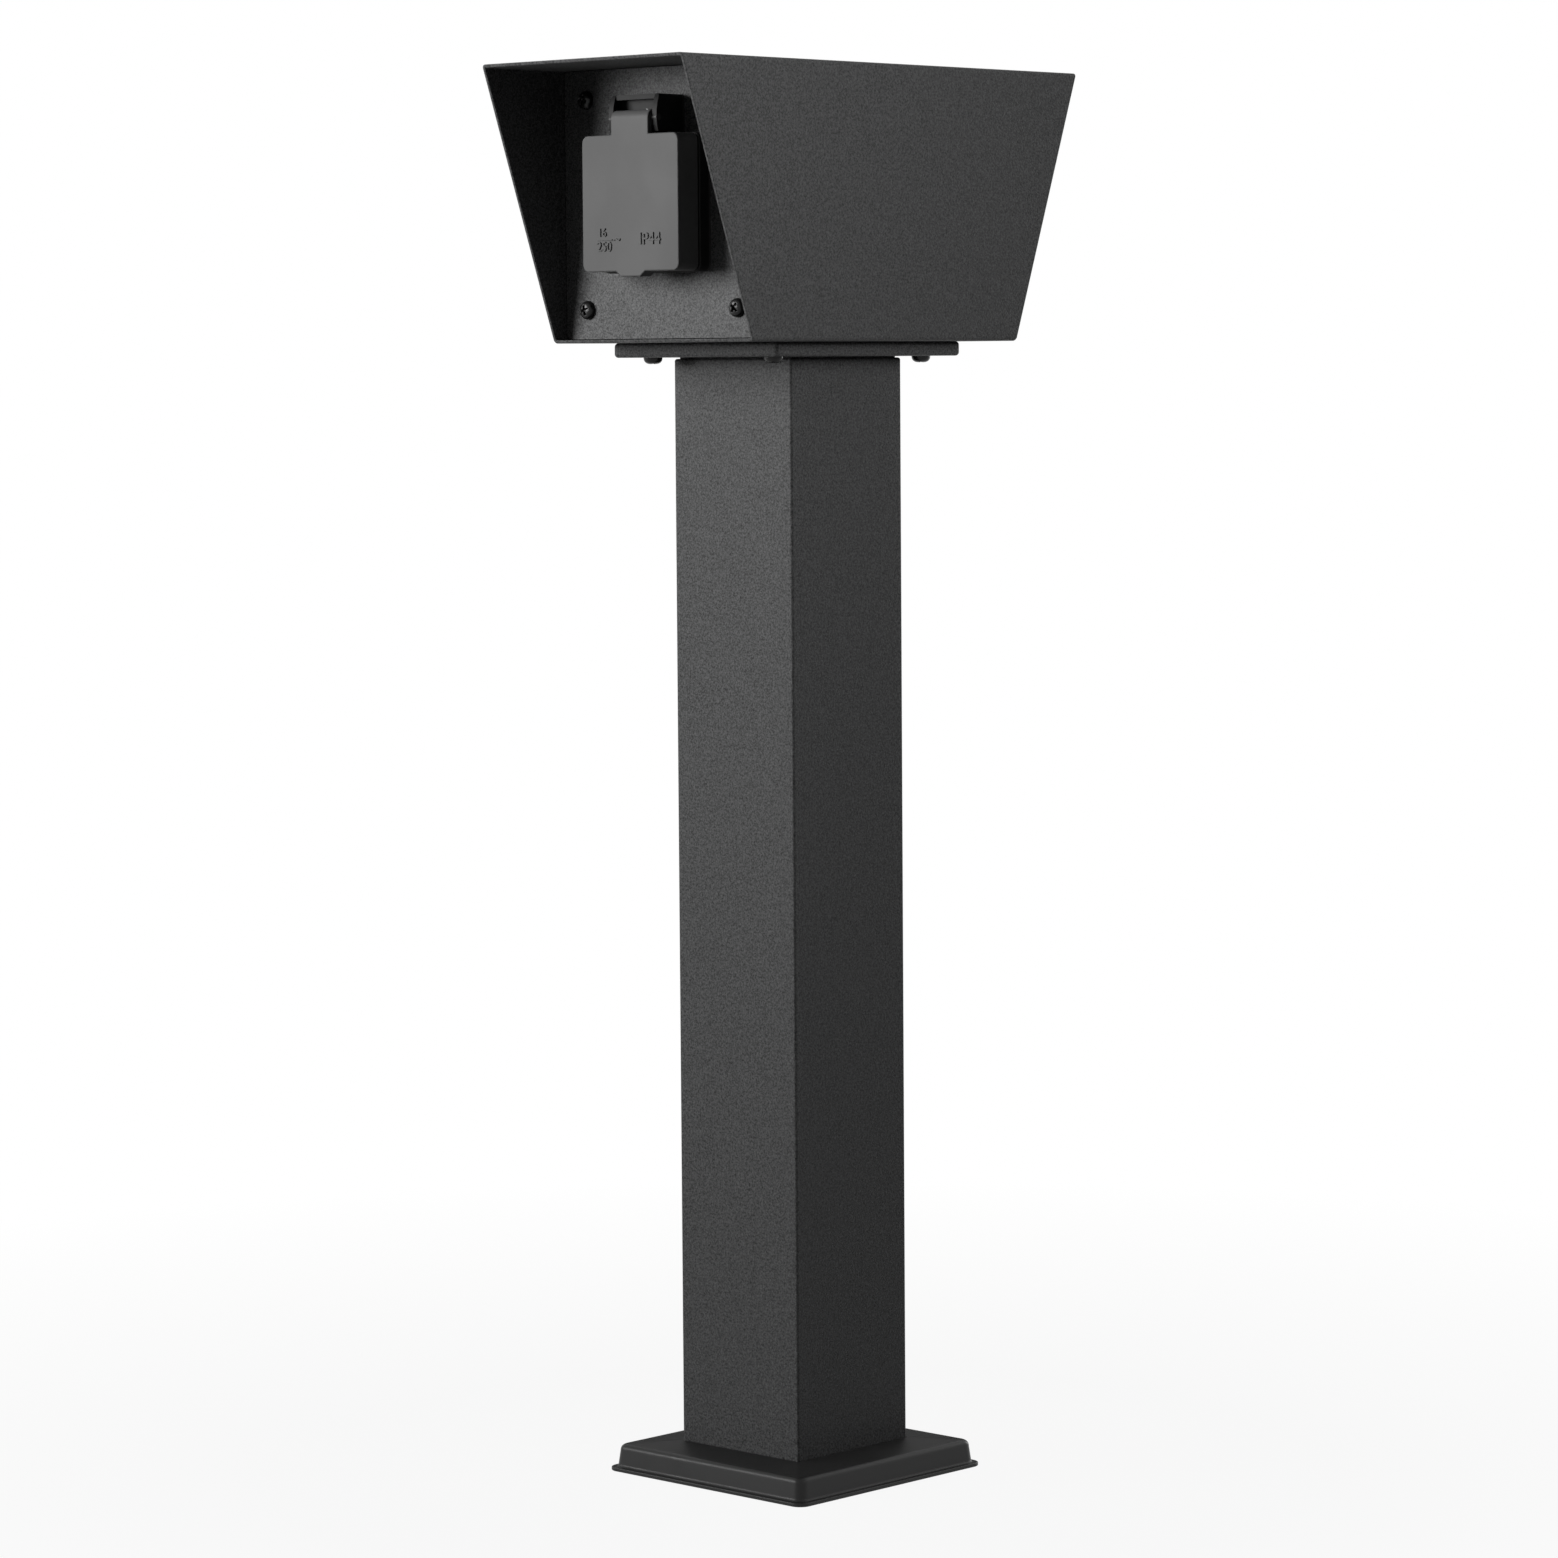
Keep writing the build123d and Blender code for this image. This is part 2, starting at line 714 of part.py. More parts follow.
def lid():
    """A shallow square cap with a finger tab below and, above, a strap rolled into two knuckles
    with a slot between them for the spring. Its top wall is cut back under the strap, where it
    swings past the collar."""
    outline = RectangleRounded(lid_width, lid_height, lid_corner)
    cap = Pos(0, 0, lid_back) * extrude(outline, amount=lid_inner - lid_back)
    cap += lid_face(outline)
    inside = RectangleRounded(lid_width - 2 * lid_wall, lid_height - 2 * lid_wall, lid_corner - lid_wall)
    cap -= Pos(0, 0, lid_back - overrun) * extrude(inside, amount=lid_inner - lid_back + overrun)
    half = lid_strap_width / 2
    top_wall = (lid_height / 2 - lid_wall - overrun, lid_height / 2 + overrun)
    cap -= span_box((-half, half), top_wall, (lid_back - overrun, lid_back + lid_relief))
    ring_outer = lid_seal_inner() - lid_ring_gap
    cap += ring_z(ring_outer, ring_outer - lid_ring_wall, lid_inner - lid_seal_thickness,
                  lid_inner + lid_thickness / 2)
    return cap + finger_tab() + knuckle() - knuckle_cuts()


def lid_face(outline):
    """The lid's front wall: square, strap and finger tab in one, with one rounding round them all."""
    reach = hinge_y + overrun
    strap = Pos(0, reach / 2) * Rectangle(lid_strap_width, reach)
    face = Pos(0, 0, lid_inner) * extrude(outline + strap + tab_outline(), amount=lid_thickness)
    face = fillet(face.edges().group_by(Axis.Z)[-1], lid_edge)
    half = lid_strap_width
    return face - span_box((-half, half), (hinge_y, reach + overrun), (lid_inner - overrun, lid_front + overrun))


def tab_outline():
    root = -lid_height / 2
    return make_face(Polyline(
        (-tab_root_width / 2, root + lid_wall / 2),
        (-tab_root_width / 2, root),
        (-tab_tip_width / 2, root - tab_height),
        (tab_tip_width / 2, root - tab_height),
        (tab_root_width / 2, root),
        (tab_root_width / 2, root + lid_wall / 2),
        close=True,
    ))


def finger_tab():
    return Pos(0, 0, lid_front - tab_depth) * extrude(tab_outline(), amount=tab_depth - lid_thickness)


def knuckle():
    """The roll at the strap's end, rounded like the strap's edges."""
    half = lid_strap_width / 2
    roll = rod_x(knuckle_radius, -half, half, hinge_y, hinge_z)
    return fillet(roll.edges().filter_by(GeomType.CIRCLE), lid_edge)


def knuckle_cuts():
    """The pin's bore, and the slot for the spring, open to the rear."""
    half, slot = lid_strap_width / 2, spring_slot_width / 2
    middle = (-slot, slot)
    reach = knuckle_radius + overrun
    cuts = rod_x(spring_slot_radius, -slot, slot, hinge_y, hinge_z)
    cuts += span_box(middle, (hinge_y - reach, hinge_y + reach), (hinge_z - reach, hinge_z - spring_face))
    cuts += span_box(middle, (hinge_y - reach, hinge_y), (hinge_z - reach, hinge_z + lid_strap_inner()))
    return cuts + rod_x(hinge_pin_radius + hinge_pin_gap, -half - overrun, half + overrun, hinge_y, hinge_z)


def lid_strap_inner():
    """How far out from the hinge axis the strap's inner face lies."""
    return knuckle_radius - lid_thickness


def lid_seal_inner():
    return recess_radius - lid_seal_inset


def lid_seal():
    outer = collar_radius + lid_seal_overlap
    return ring_z(outer, lid_seal_inner(), lid_inner - lid_seal_thickness, lid_inner)


def hinge_pin():
    end = housing_half - pin_end_sink
    return rod_x(hinge_pin_radius, -end, end, hinge_y, hinge_z)


def coil_point(angle, pitch, start):
    """A point and the direction of travel on the coil round the hinge axis, angle in degrees."""
    turn = radians(angle)
    along = pitch * (angle - start) / 360
    point = Vector(along, hinge_y + spring_coil_radius * sin(turn), hinge_z - spring_coil_radius * cos(turn))
    slope = pitch / (2 * pi * spring_coil_radius)
    return point, Vector(slope, cos(turn), sin(turn)).normalized()


def biarc(start, start_way, end, end_way):
    """Two arcs that leave start along start_way, meet smoothly and reach end along end_way."""
    across, both = end - start, start_way + end_way
    square = both.dot(both) - 4
    reach = (across.dot(both) - sqrt(across.dot(both) ** 2 - square * across.dot(across))) / square
    first, last = start + start_way * reach, end - end_way * reach
    joint = (first + last) / 2
    return [
        Edge.make_tangent_arc(start, start_way, joint),
        Edge.make_tangent_arc(joint, (last - first).normalized(), end),
    ]


def lid_spring():
    """A coil of five turns with a leg behind each end: one bears on the housing's back wall,
    the other on the rolled strap, which it pushes shut."""
    start, end = spring_leg_angle, 360 * spring_turns
    pitch = (spring_slot_width - spring_wire - 2 * spring_end_gap) / ((end - start) / 360)
    steps = 2 * spring_turns
    stops = [start + (end - start) * step / steps for step in range(steps + 1)]
    half = (spring_slot_width - spring_wire) / 2 - spring_end_gap
    ends = [coil_point(angle, pitch, start) for angle in stops]
    shift = Vector(-half, 0, 0)
    ends = [(point + shift, way) for point, way in ends]
    edges = [Edge.make_line(ends[0][0] - ends[0][1] * spring_leg, ends[0][0])]
    for (here, way), (there, next_way) in zip(ends, ends[1:]):
        edges += biarc(here, way, there, next_way)
    edges.append(Edge.make_line(ends[-1][0], ends[-1][0] + ends[-1][1] * spring_leg))
    return tube_along(Wire(edges), spring_wire / 2)


def tube_along(path, radius):
    """A wire or lead of round section, drawn with a few flat sides, along a path."""
    section = Plane(path.position_at(0), z_dir=path.tangent_at(0)) * RegularPolygon(radius, wire_sides)
    return sweep(section, path=path)


def block_screw_places():
    return [(block_x, side * (block_depth / 2 - block_screw_inset)) for side in (-1, 1)]


def terminal_block():
    """Two towers on a common base, each with a tunnel for its clamp and screw wells on top."""
    half = block_depth / 2
    top = hood_floor + block_height
    body = span_box((block_x - block_width / 2, block_x + block_width / 2), (-half, half),
                    (hood_floor, hood_floor + block_base_height))
    for x in pole_places:
        tower = (x - block_tower_width / 2, x + block_tower_width / 2)
        body += span_box(tower, (-half, half), (hood_floor, top))
    side = clamp_width / 2 + clamp_gap
    length = clamp_length / 2 + clamp_gap
    for x in pole_places:
        body -= span_box((x - side, x + side), (-length, length), (clamp_height - side, clamp_height + side))
        body -= rod_y(clamp_bore_radius, -half - overrun, half + overrun, x, clamp_height)
        for y in clamp_screw_rows():
            body -= rod_z(clamp_screw_head + clamp_gap, clamp_height, top + overrun, x, y)
    for x, y in block_screw_places():
        body -= rod_z(block_screw_radius + screw_hole_gap, hood_floor - overrun, top, x, y)
        body -= rod_z(block_screw_head + clamp_gap, hood_floor + block_base_height, top + overrun, x, y)
    return body


def clamp_screw_rows():
    place = clamp_length / 2 - clamp_screw_inset
    return (-place, place)


def terminal_clamps():
    pieces = []
    side, length = clamp_width / 2, clamp_length / 2
    for x in pole_places:
        clamp = span_box((x - side, x + side), (-length, length), (clamp_height - side, clamp_height + side))
        clamp -= rod_y(clamp_bore_radius, -length - overrun, length + overrun, x, clamp_height)
        for y in clamp_screw_rows():
            clamp -= rod_z(clamp_screw_radius + thread_gap, clamp_height, clamp_height + clamp_width, x, y)
        pieces.append(clamp)
    return group(pieces)


def clamp_screws():
    pieces = []
    face = clamp_height + clamp_width / 2
    for x in pole_places:
        for y in clamp_screw_rows():
            screw = rod_z(clamp_screw_radius, clamp_height + lead_radius + lead_gap, face + clamp_gap, x, y)
            screw += rod_z(clamp_screw_head, face + clamp_gap, face + clamp_screw_head_height, x, y)
            pieces.append(screw)
    return group(pieces)


def block_screws():
    pieces = []
    seat = hood_floor + block_base_height
    for x, y in block_screw_places():
        screw = rod_z(block_screw_radius, hood_bottom - block_screw_depth + clamp_gap, seat, x, y)
        screw += rod_z(block_screw_head, seat, seat + block_screw_head_height, x, y)
        pieces.append(screw)
    return group(pieces)


def earth_stud():
    stud = rod_z(stud_radius, hood_bottom, hood_floor + stud_height, stud_x)
    return stud + rod_z(stud_flange_radius, hood_floor, hood_floor + stud_flange_height, stud_x)


def lug_level(order):
    return hood_floor + stud_flange_height + order * lug_thickness


def lug_bore_height(order):
    return lug_level(order) + lug_barrel_radius


def earth_lugs():
    """Two ring lugs stacked on the stud, one reaching to each socket."""
    pieces = []
    for order, side in enumerate((-1, 1)):
        low = lug_level(order)
        high = low + lug_thickness
        lug = rod_z(lug_radius, low, high, stud_x)
        barrel = sorted((side * (lug_reach - lug_barrel_length), side * lug_reach))
        neck = sorted((0, side * (lug_reach - lug_barrel_length / 2)))
        lug += span_box((stud_x - lug_neck_width / 2, stud_x + lug_neck_width / 2), neck, (low, high))
        lug += rod_y(lug_barrel_radius, *barrel, stud_x, lug_bore_height(order))
        bore = sorted((side * (lug_reach - lug_barrel_length) - side * overrun, side * (lug_reach + overrun)))
        lug -= rod_y(lead_radius + lead_gap, *bore, stud_x, lug_bore_height(order))
        lug -= rod_z(stud_radius + lug_hole_gap, low - overrun, high + overrun, stud_x)
        pieces.append(lug)
    return group(pieces)


def earth_nut():
    washer_bottom = lug_level(2)
    nut_bottom = washer_bottom + washer_thickness
    washer = ring_z(washer_radius, stud_radius + lug_hole_gap, washer_bottom, nut_bottom, stud_x)
    piece = Pos(stud_x, 0, nut_bottom) * nut(earth_nut_flats, earth_nut_height, stud_radius + thread_gap)
    return group([washer, piece])


def lead(points):
    """A lead along straight runs, each bend as wide as its two runs allow."""
    points = [Vector(*point) for point in points]
    radii = []
    for before, here, after in zip(points, points[1:], points[2:]):
        turn = radians((here - before).get_angle(after - here))
        shorter = min((here - before).length, (after - here).length)
        radii.append(lead_bend_share * shorter / tan(turn / 2))
    return tube_along(Wire(FilletPolyline(points, radius=radii).edges()), lead_radius), radii


def pole_lead(side, terminal_x, pole_x):
    """From a pin terminal, out of the back cover, down and into its clamp."""
    start = panel_face + terminal_back + lead_seat_depth - lead_gap
    end = clamp_length / 2 - clamp_screw_inset
    return lead([
        (terminal_x, side * start, socket_middle),
        (terminal_x, side * live_drop, socket_middle),
        (pole_x, side * live_drop, clamp_height),
        (pole_x, side * end, clamp_height),
    ])


def earth_lead(side, order):
    """From the earth terminal down to its ring lug on the stud."""
    start = panel_face + terminal_back + lead_seat_depth - lead_gap
    end = lug_reach - lug_barrel_length / 2
    return lead([
        (0, side * start, socket_middle),
        (0, side * earth_drop, socket_middle),
        (stud_x, side * earth_drop, lug_bore_height(order)),
        (stud_x, side * end, lug_bore_height(order)),
    ])


def save(name, piece):
    export_step(piece, f"parts/{name}.step")


os.makedirs("parts", exist_ok=True)

for make in (foot_plate, post_tube, base_cover, head_plate, neck_plate, neck_screws, hood, hood_screws,
             hood_nuts, cable_grommet, terminal_block, terminal_clamps, clamp_screws, block_screws,
             earth_stud, earth_lugs, earth_nut):
    save(make.__name__, make())

socket_makers = (panel_brackets, panel, panel_screws, gasket, socket_body, contact_carrier, pin_contacts,
                 terminal_screws, earth_clip, back_cover, flange_screws, lid, lid_seal, hinge_pin, lid_spring)
ends = (("front", -1), ("rear", 1))
for end_name, side in ends:
    origin = (0, side * panel_face, socket_middle)
    place = Plane(origin=origin, x_dir=(-side, 0, 0), z_dir=(0, side, 0)).location
    for make in socket_makers:
        save(f"{end_name}_{make.__name__}", place * make())

lead_ends = (("live", -pin_spacing / 2, pole_places[0]), ("neutral", pin_spacing / 2, pole_places[1]))
for order, (end_name, side) in enumerate(ends):
    for lead_name, terminal_x, pole_x in lead_ends:
        tube, radii = pole_lead(side, terminal_x, pole_x)
        print(end_name, lead_name, "lead bends", [round(radius, 1) for radius in radii])
        save(f"{end_name}_{lead_name}_lead", tube)
    tube, radii = earth_lead(side, order)
    print(end_name, "earth lead bends", [round(radius, 1) for radius in radii])
    save(f"{end_name}_earth_lead", tube)
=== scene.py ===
"""Looks of a garden socket post: finishes, finer surfaces, the studio round it and the camera."""
import json
import logging
import math
from collections.abc import Sequence
from dataclasses import dataclass
from enum import Enum

import bmesh
import bpy
import numpy as np
from mathutils import Matrix, Vector


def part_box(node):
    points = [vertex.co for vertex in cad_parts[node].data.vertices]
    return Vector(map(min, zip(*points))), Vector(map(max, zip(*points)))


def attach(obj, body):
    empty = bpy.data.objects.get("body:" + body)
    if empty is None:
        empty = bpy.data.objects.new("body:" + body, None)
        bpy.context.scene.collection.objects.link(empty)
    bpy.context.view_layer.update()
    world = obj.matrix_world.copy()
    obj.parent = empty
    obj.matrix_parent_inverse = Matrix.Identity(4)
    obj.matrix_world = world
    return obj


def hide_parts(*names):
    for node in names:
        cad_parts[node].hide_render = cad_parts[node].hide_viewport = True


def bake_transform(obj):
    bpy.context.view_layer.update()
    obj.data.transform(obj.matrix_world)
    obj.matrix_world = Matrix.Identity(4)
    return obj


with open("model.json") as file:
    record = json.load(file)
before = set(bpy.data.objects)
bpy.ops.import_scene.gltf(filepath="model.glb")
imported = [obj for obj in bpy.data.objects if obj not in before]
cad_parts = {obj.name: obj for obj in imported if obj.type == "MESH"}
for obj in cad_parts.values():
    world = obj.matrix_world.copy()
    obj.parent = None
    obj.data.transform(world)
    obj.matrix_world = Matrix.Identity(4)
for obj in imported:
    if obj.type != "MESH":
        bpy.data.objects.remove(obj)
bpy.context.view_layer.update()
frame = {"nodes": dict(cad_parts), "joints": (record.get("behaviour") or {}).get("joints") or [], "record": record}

Array = np.ndarray
Socket = bpy.types.NodeSocket
Outputs = bpy.types.NodeOutputs
Triple = tuple[float, float, float]
log = logging.getLogger("socket_post")

QUARTER = math.pi / 2

# How far past each arc a further point lies, as a share of the arc's radius or of its cut.
RING_SUPPORT = 0.2
PROFILE_SUPPORT = 0.3
# Stands for a corner of radius zero, so that no length is divided by nothing.
LEAST_RADIUS = 1e-6
# Points of a new mesh that lie closer than this become one.
SAME_PLACE = 1e-7
# Where a Mix node that mixes colours has its sockets.
MIX_SHARE, MIX_FIRST, MIX_SECOND, MIX_RESULT = 0, 6, 7, 2


class End(Enum):
    """The two ends of the hood, each with a socket. The value is the way that it faces along Y."""

    FRONT = -1
    REAR = 1

    @property
    def word(self) -> str:
        """The end's name, as the CAD nodes and bodies begin."""
        return self.name.lower()

    def node(self, name: str) -> str:
        """The CAD node or body of this end with that name."""
        return f"{self.word}_{name}"


def corners(node: str) -> tuple[Array, Array]:
    """Lowest and highest corner of a CAD node at rest, in metres."""
    low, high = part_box(node)
    return np.array(low), np.array(high)


def joint_place(name: str) -> Array:
    """The point that a CAD joint's axis passes through, in metres."""
    place = next(joint["pos_m"] for joint in frame["joints"] if joint["name"] == name)
    return np.array(place, float)


# Surfaces


@dataclass
class Surface:
    """Points and faces of a mesh before it becomes a piece."""

    points: Array
    faces: list[list[int]]

    def moved(self, matrix: Array, origin: Array) -> "Surface":
        """The same surface turned by a 3 by 3 matrix and then shifted.

        Args:
            matrix: columns are where the X, Y and Z directions go.
            origin: where the point zero goes.

        Returns:
            A new surface with the same faces.
        """
        return Surface(self.points @ matrix.T + origin, self.faces)

    @staticmethod
    def joined(parts: Sequence["Surface"]) -> "Surface":
        """Several surfaces as one, each still closed by itself."""
        starts = np.cumsum([0] + [len(part.points) for part in parts[:-1]])
        faces = [[index + int(start) for index in face]
                 for part, start in zip(parts, starts) for face in part.faces]
        return Surface(np.vstack([part.points for part in parts]), faces)


def rounded_rings(widths: Array, depths: Array, radii: Array, heights: Array, arc_steps: int = 6,
                  side_steps: int = 0) -> Array:
    """Rings round a rectangle with rounded corners, one for each entry of the arrays.

    Formula: each corner is a quarter circle about a centre that lies one radius inside both sides.
    A point a little way along the side before and after each arc keeps the flat sides flat, and
    further points may divide the sides evenly.

    Args:
        widths, depths: the rectangle's sides along the first and second axis.
        radii: the corner radius of each ring.
        heights: each ring's place along the third axis.
        arc_steps: how many chords stand for a quarter circle.
        side_steps: how many extra points lie on each side.

    Returns:
        Points as an array of rings, points and three coordinates.
    """
    turn = np.concatenate([[0.0], np.linspace(0.0, QUARTER, arc_steps + 1), [QUARTER]])
    slide = np.zeros_like(turn)
    slide[0], slide[-1] = -RING_SUPPORT, RING_SUPPORT
    angle = turn[None, :] + QUARTER * np.arange(4)[:, None]
    across = np.stack([np.cos(angle), np.sin(angle)], axis=-1)
    along = np.stack([-np.sin(angle), np.cos(angle)], axis=-1)
    signs = np.array([[1, 1], [-1, 1], [-1, -1], [1, -1]])
    halves = np.stack([widths, depths], axis=-1)[:, None, :] / 2 - radii[:, None, None]
    shape = across + slide[None, :, None] * along
    ring = (signs * halves)[:, :, None, :] + radii[:, None, None, None] * shape[None]
    if side_steps:
        share = np.linspace(0.0, 1.0, side_steps + 2)[1:-1][None, None, :, None]
        start, end = ring[:, :, -1:, :], np.roll(ring[:, :, :1, :], -1, axis=1)
        ring = np.concatenate([ring, start + (end - start) * share], axis=2)
    flat = ring.reshape(len(widths), -1, 2)
    level = np.broadcast_to(heights[:, None, None], flat.shape[:2] + (1,))
    return np.concatenate([flat, level], axis=-1)


def rounded_profile(points: Sequence[Triple], steps: int = 5) -> Array:
    """A closed profile through corner points, each rounded by its own radius.

    Formula: at a corner of inner angle f, both sides are cut back by r / tan(f / 2), and an arc
    about the centre r / sin(f / 2) along the bisector joins the cuts. One more point on each side of
    the arc keeps the straight stretches flat.

    Args:
        points: first coordinate, second coordinate and radius of each corner.
        steps: how many chords stand for each arc.

    Returns:
        Points as an array of two columns.
    """
    table = np.array(points, float)
    place, radius = table[:, :2], np.maximum(table[:, 2], LEAST_RADIUS)
    before = np.roll(place, 1, axis=0) - place
    after = np.roll(place, -1, axis=0) - place
    before /= np.linalg.norm(before, axis=1, keepdims=True)
    after /= np.linalg.norm(after, axis=1, keepdims=True)
    inner = np.arccos(np.clip(np.sum(before * after, axis=1), -1, 1))
    cut = radius / np.tan(inner / 2)
    middle = before + after
    middle /= np.linalg.norm(middle, axis=1, keepdims=True)
    centre = place + middle * (radius / np.sin(inner / 2))[:, None]
    start = place + before * cut[:, None]
    end = place + after * cut[:, None]
    first, last = start - centre, end - centre
    turn = np.arctan2(first[:, 0] * last[:, 1] - first[:, 1] * last[:, 0], np.sum(first * last, axis=1))
    angle = np.arctan2(first[:, 1], first[:, 0])[:, None] + turn[:, None] * np.linspace(0, 1, steps + 1)
    arc = centre[:, None, :] + radius[:, None, None] * np.stack([np.cos(angle), np.sin(angle)], axis=-1)
    support = PROFILE_SUPPORT * cut[:, None]
    lead_in, lead_out = start + before * support, end + after * support
    rounded = np.concatenate([lead_in[:, None], arc, lead_out[:, None]], axis=1)
    return rounded.reshape(-1, 2)


def carried(profile: Array, width: float, radii: Array, arc_steps: int, side_steps: int = 0) -> Array:
    """Rings of a profile carried round a square with rounded corners.

    Formula: a profile point of inset i and height z becomes a ring at z, narrower than the square by
    2 i.

    Args:
        profile: the points, as insets and heights.
        width: the square's width at inset zero.
        radii: the corner radius at each point.
        arc_steps: how many chords stand for a quarter circle.
        side_steps: how many extra points lie on each side.

    Returns:
        Points as an array of rings, points and three coordinates.
    """
    size = width - 2 * profile[:, 0]
    return rounded_rings(size, size, radii, profile[:, 1], arc_steps, side_steps)


def skin(rings: Array, loop: bool = False) -> Surface:
    """Joins rings of points into a closed surface.

    Formula: point j of ring i, point j + 1 and the same two points of ring i + 1 make one face.

    Args:
        rings: points as an array of rings, points and three coordinates.
        loop: whether the last ring joins the first. Otherwise both are filled.

    Returns:
        The closed surface.
    """
    count, around = rings.shape[:2]
    index = np.arange(count * around).reshape(count, around)
    rows = np.vstack([index, index[:1]]) if loop else index
    low, high = rows[:-1], rows[1:]
    quads = np.stack([low, np.roll(low, -1, axis=1), np.roll(high, -1, axis=1), high], axis=-1)
    faces = quads.reshape(-1, 4).tolist()
    if not loop:
        faces += [index[0, ::-1].tolist(), index[-1].tolist()]
    return Surface(rings.reshape(-1, 3), faces)


def turned(profile: Array, around: int = 48) -> Array:
    """Rings of a turned shape round the third axis.

    Formula: a profile point of radius r and height h goes to (r cos a, r sin a, h) for each angle a.
    """
    angle = np.linspace(0, 2 * math.pi, around, endpoint=False)
    radius, height = profile[:, 0][:, None], profile[:, 1][:, None]
    level = np.broadcast_to(height, (len(profile), around))
    return np.stack([radius * np.cos(angle), radius * np.sin(angle), level], axis=-1)


def swept(path: Array, radius: float, upright: Array, around: int = 16) -> Array:
    """Rings of a round tube along a path.

    Formula: at each point the circle lies square to the path, in the plane of two directions that
    are worked out from the path's slope and the upright direction, which the path never follows.
    """
    way = np.gradient(path, axis=0)
    way /= np.linalg.norm(way, axis=1, keepdims=True)
    first = upright - (way @ upright)[:, None] * way
    first /= np.linalg.norm(first, axis=1, keepdims=True)
    second = np.cross(way, first)
    angle = np.linspace(0, 2 * math.pi, around, endpoint=False)
    cosine, sine = np.cos(angle)[None, :, None], np.sin(angle)[None, :, None]
    circle = cosine * first[:, None, :] + sine * second[:, None, :]
    return path[:, None, :] + radius * circle


def smooth_step(value: Array) -> Array:
    """0 below zero, 1 above one, and the curve 3v^2 - 2v^3 between."""
    clipped = np.clip(value, 0.0, 1.0)
    return clipped * clipped * (3 - 2 * clipped)


# Materials


class Tree:
    """One node tree, with short ways to add nodes and join their sockets."""

    def __init__(self, tree: bpy.types.NodeTree) -> None:
        """Keeps the tree that the nodes go into."""
        self.tree = tree

    def node(self, kind: str, settings: dict | None = None, **inputs: object) -> bpy.types.Node:
        """Adds a node.

        Args:
            kind: the node's type name without its common beginning.
            settings: properties of the node itself.
            inputs: a value or a socket for each named input, with _ for a space.

        Returns:
            The new node.
        """
        made = self.tree.nodes.new("ShaderNode" + kind)
        for key, value in (settings or {}).items():
            setattr(made, key, value)
        for key, value in inputs.items():
            self.feed(made.inputs[key.replace("_", " ")], value)
        return made

    def feed(self, socket: Socket, value: object) -> None:
        """Joins a socket to another, or sets its value."""
        if isinstance(value, Socket):
            self.tree.links.new(value, socket)
        else:
            socket.default_value = value

    def math(self, operation: str, first: object, second: object = 0.0) -> Socket:
        """The result of one sum on two values or sockets."""
        made = self.node("Math", {"operation": operation})
        self.feed(made.inputs[0], first)
        self.feed(made.inputs[1], second)
        return made.outputs[0]

    def blend(self, share: object, first: Sequence[float] | Socket,
              second: Sequence[float] | Socket) -> Socket:
        """A colour between two others, by a share from 0 to 1."""
        made = self.node("Mix", {"data_type": "RGBA"})
        for index, value in ((MIX_SHARE, share), (MIX_FIRST, first), (MIX_SECOND, second)):
            self.feed(made.inputs[index], value)
        return made.outputs[MIX_RESULT]

    def spread(self, value: Socket, low: float, high: float, start: float = 0.0,
               end: float = 1.0) -> Socket:
        """Maps the span from start to end onto the span from low to high."""
        made = self.node("MapRange", Value=value, From_Min=start, From_Max=end, To_Min=low, To_Max=high)
        return made.outputs[0]

    def noise(self, place: Socket, scale: object, detail: float = 2.0,
              roughness: float = 0.5) -> Socket:
        """A soft noise from 0 to 1, with that many waves in a metre."""
        made = self.node("TexNoise", Vector=place, Scale=scale, Detail=detail, Roughness=roughness)
        return made.outputs[0]

    def mixed(self, first: object, second: object, share: float) -> Socket:
        """The sum of two values, the first times its share and the second times the rest."""
        return self.math("ADD", self.math("MULTIPLY", first, share),
                         self.math("MULTIPLY", second, 1 - share))

    def effect(self, group: type["EffectGroup"], place: Socket, count: float) -> Outputs:
        """Places an effect and gives its outputs. count is how many of its marks lie in a metre."""
        return self.node("Group", {"node_tree": group.tree()}, Place=place, Count=count).outputs


class EffectGroup:
    """A node group, built once, that makes values of a place and a count of marks in a metre."""

    title = ""
    outputs: tuple[str, ...] = ("Height",)

    @classmethod
    def tree(cls) -> bpy.types.NodeTree:
        """The group's node tree, made at the first call."""
        found = bpy.data.node_groups.get(cls.title)
        if found:
            return found
        made = bpy.data.node_groups.new(cls.title, "ShaderNodeTree")
        made.interface.new_socket("Place", in_out="INPUT", socket_type="NodeSocketVector")
        made.interface.new_socket("Count", in_out="INPUT", socket_type="NodeSocketFloat")
        for name in cls.outputs:
            made.interface.new_socket(name, in_out="OUTPUT", socket_type="NodeSocketFloat")
        source = made.nodes.new("NodeGroupInput")
        result = made.nodes.new("NodeGroupOutput")
        cls.fill(Tree(made), source.outputs["Place"], source.outputs["Count"], result.inputs)
        return made

    @classmethod
    def fill(cls, tree: Tree, place: Socket, count: Socket, wanted: bpy.types.NodeInputs) -> None:
        """Adds the nodes between the group's inputs and outputs."""
        raise NotImplementedError


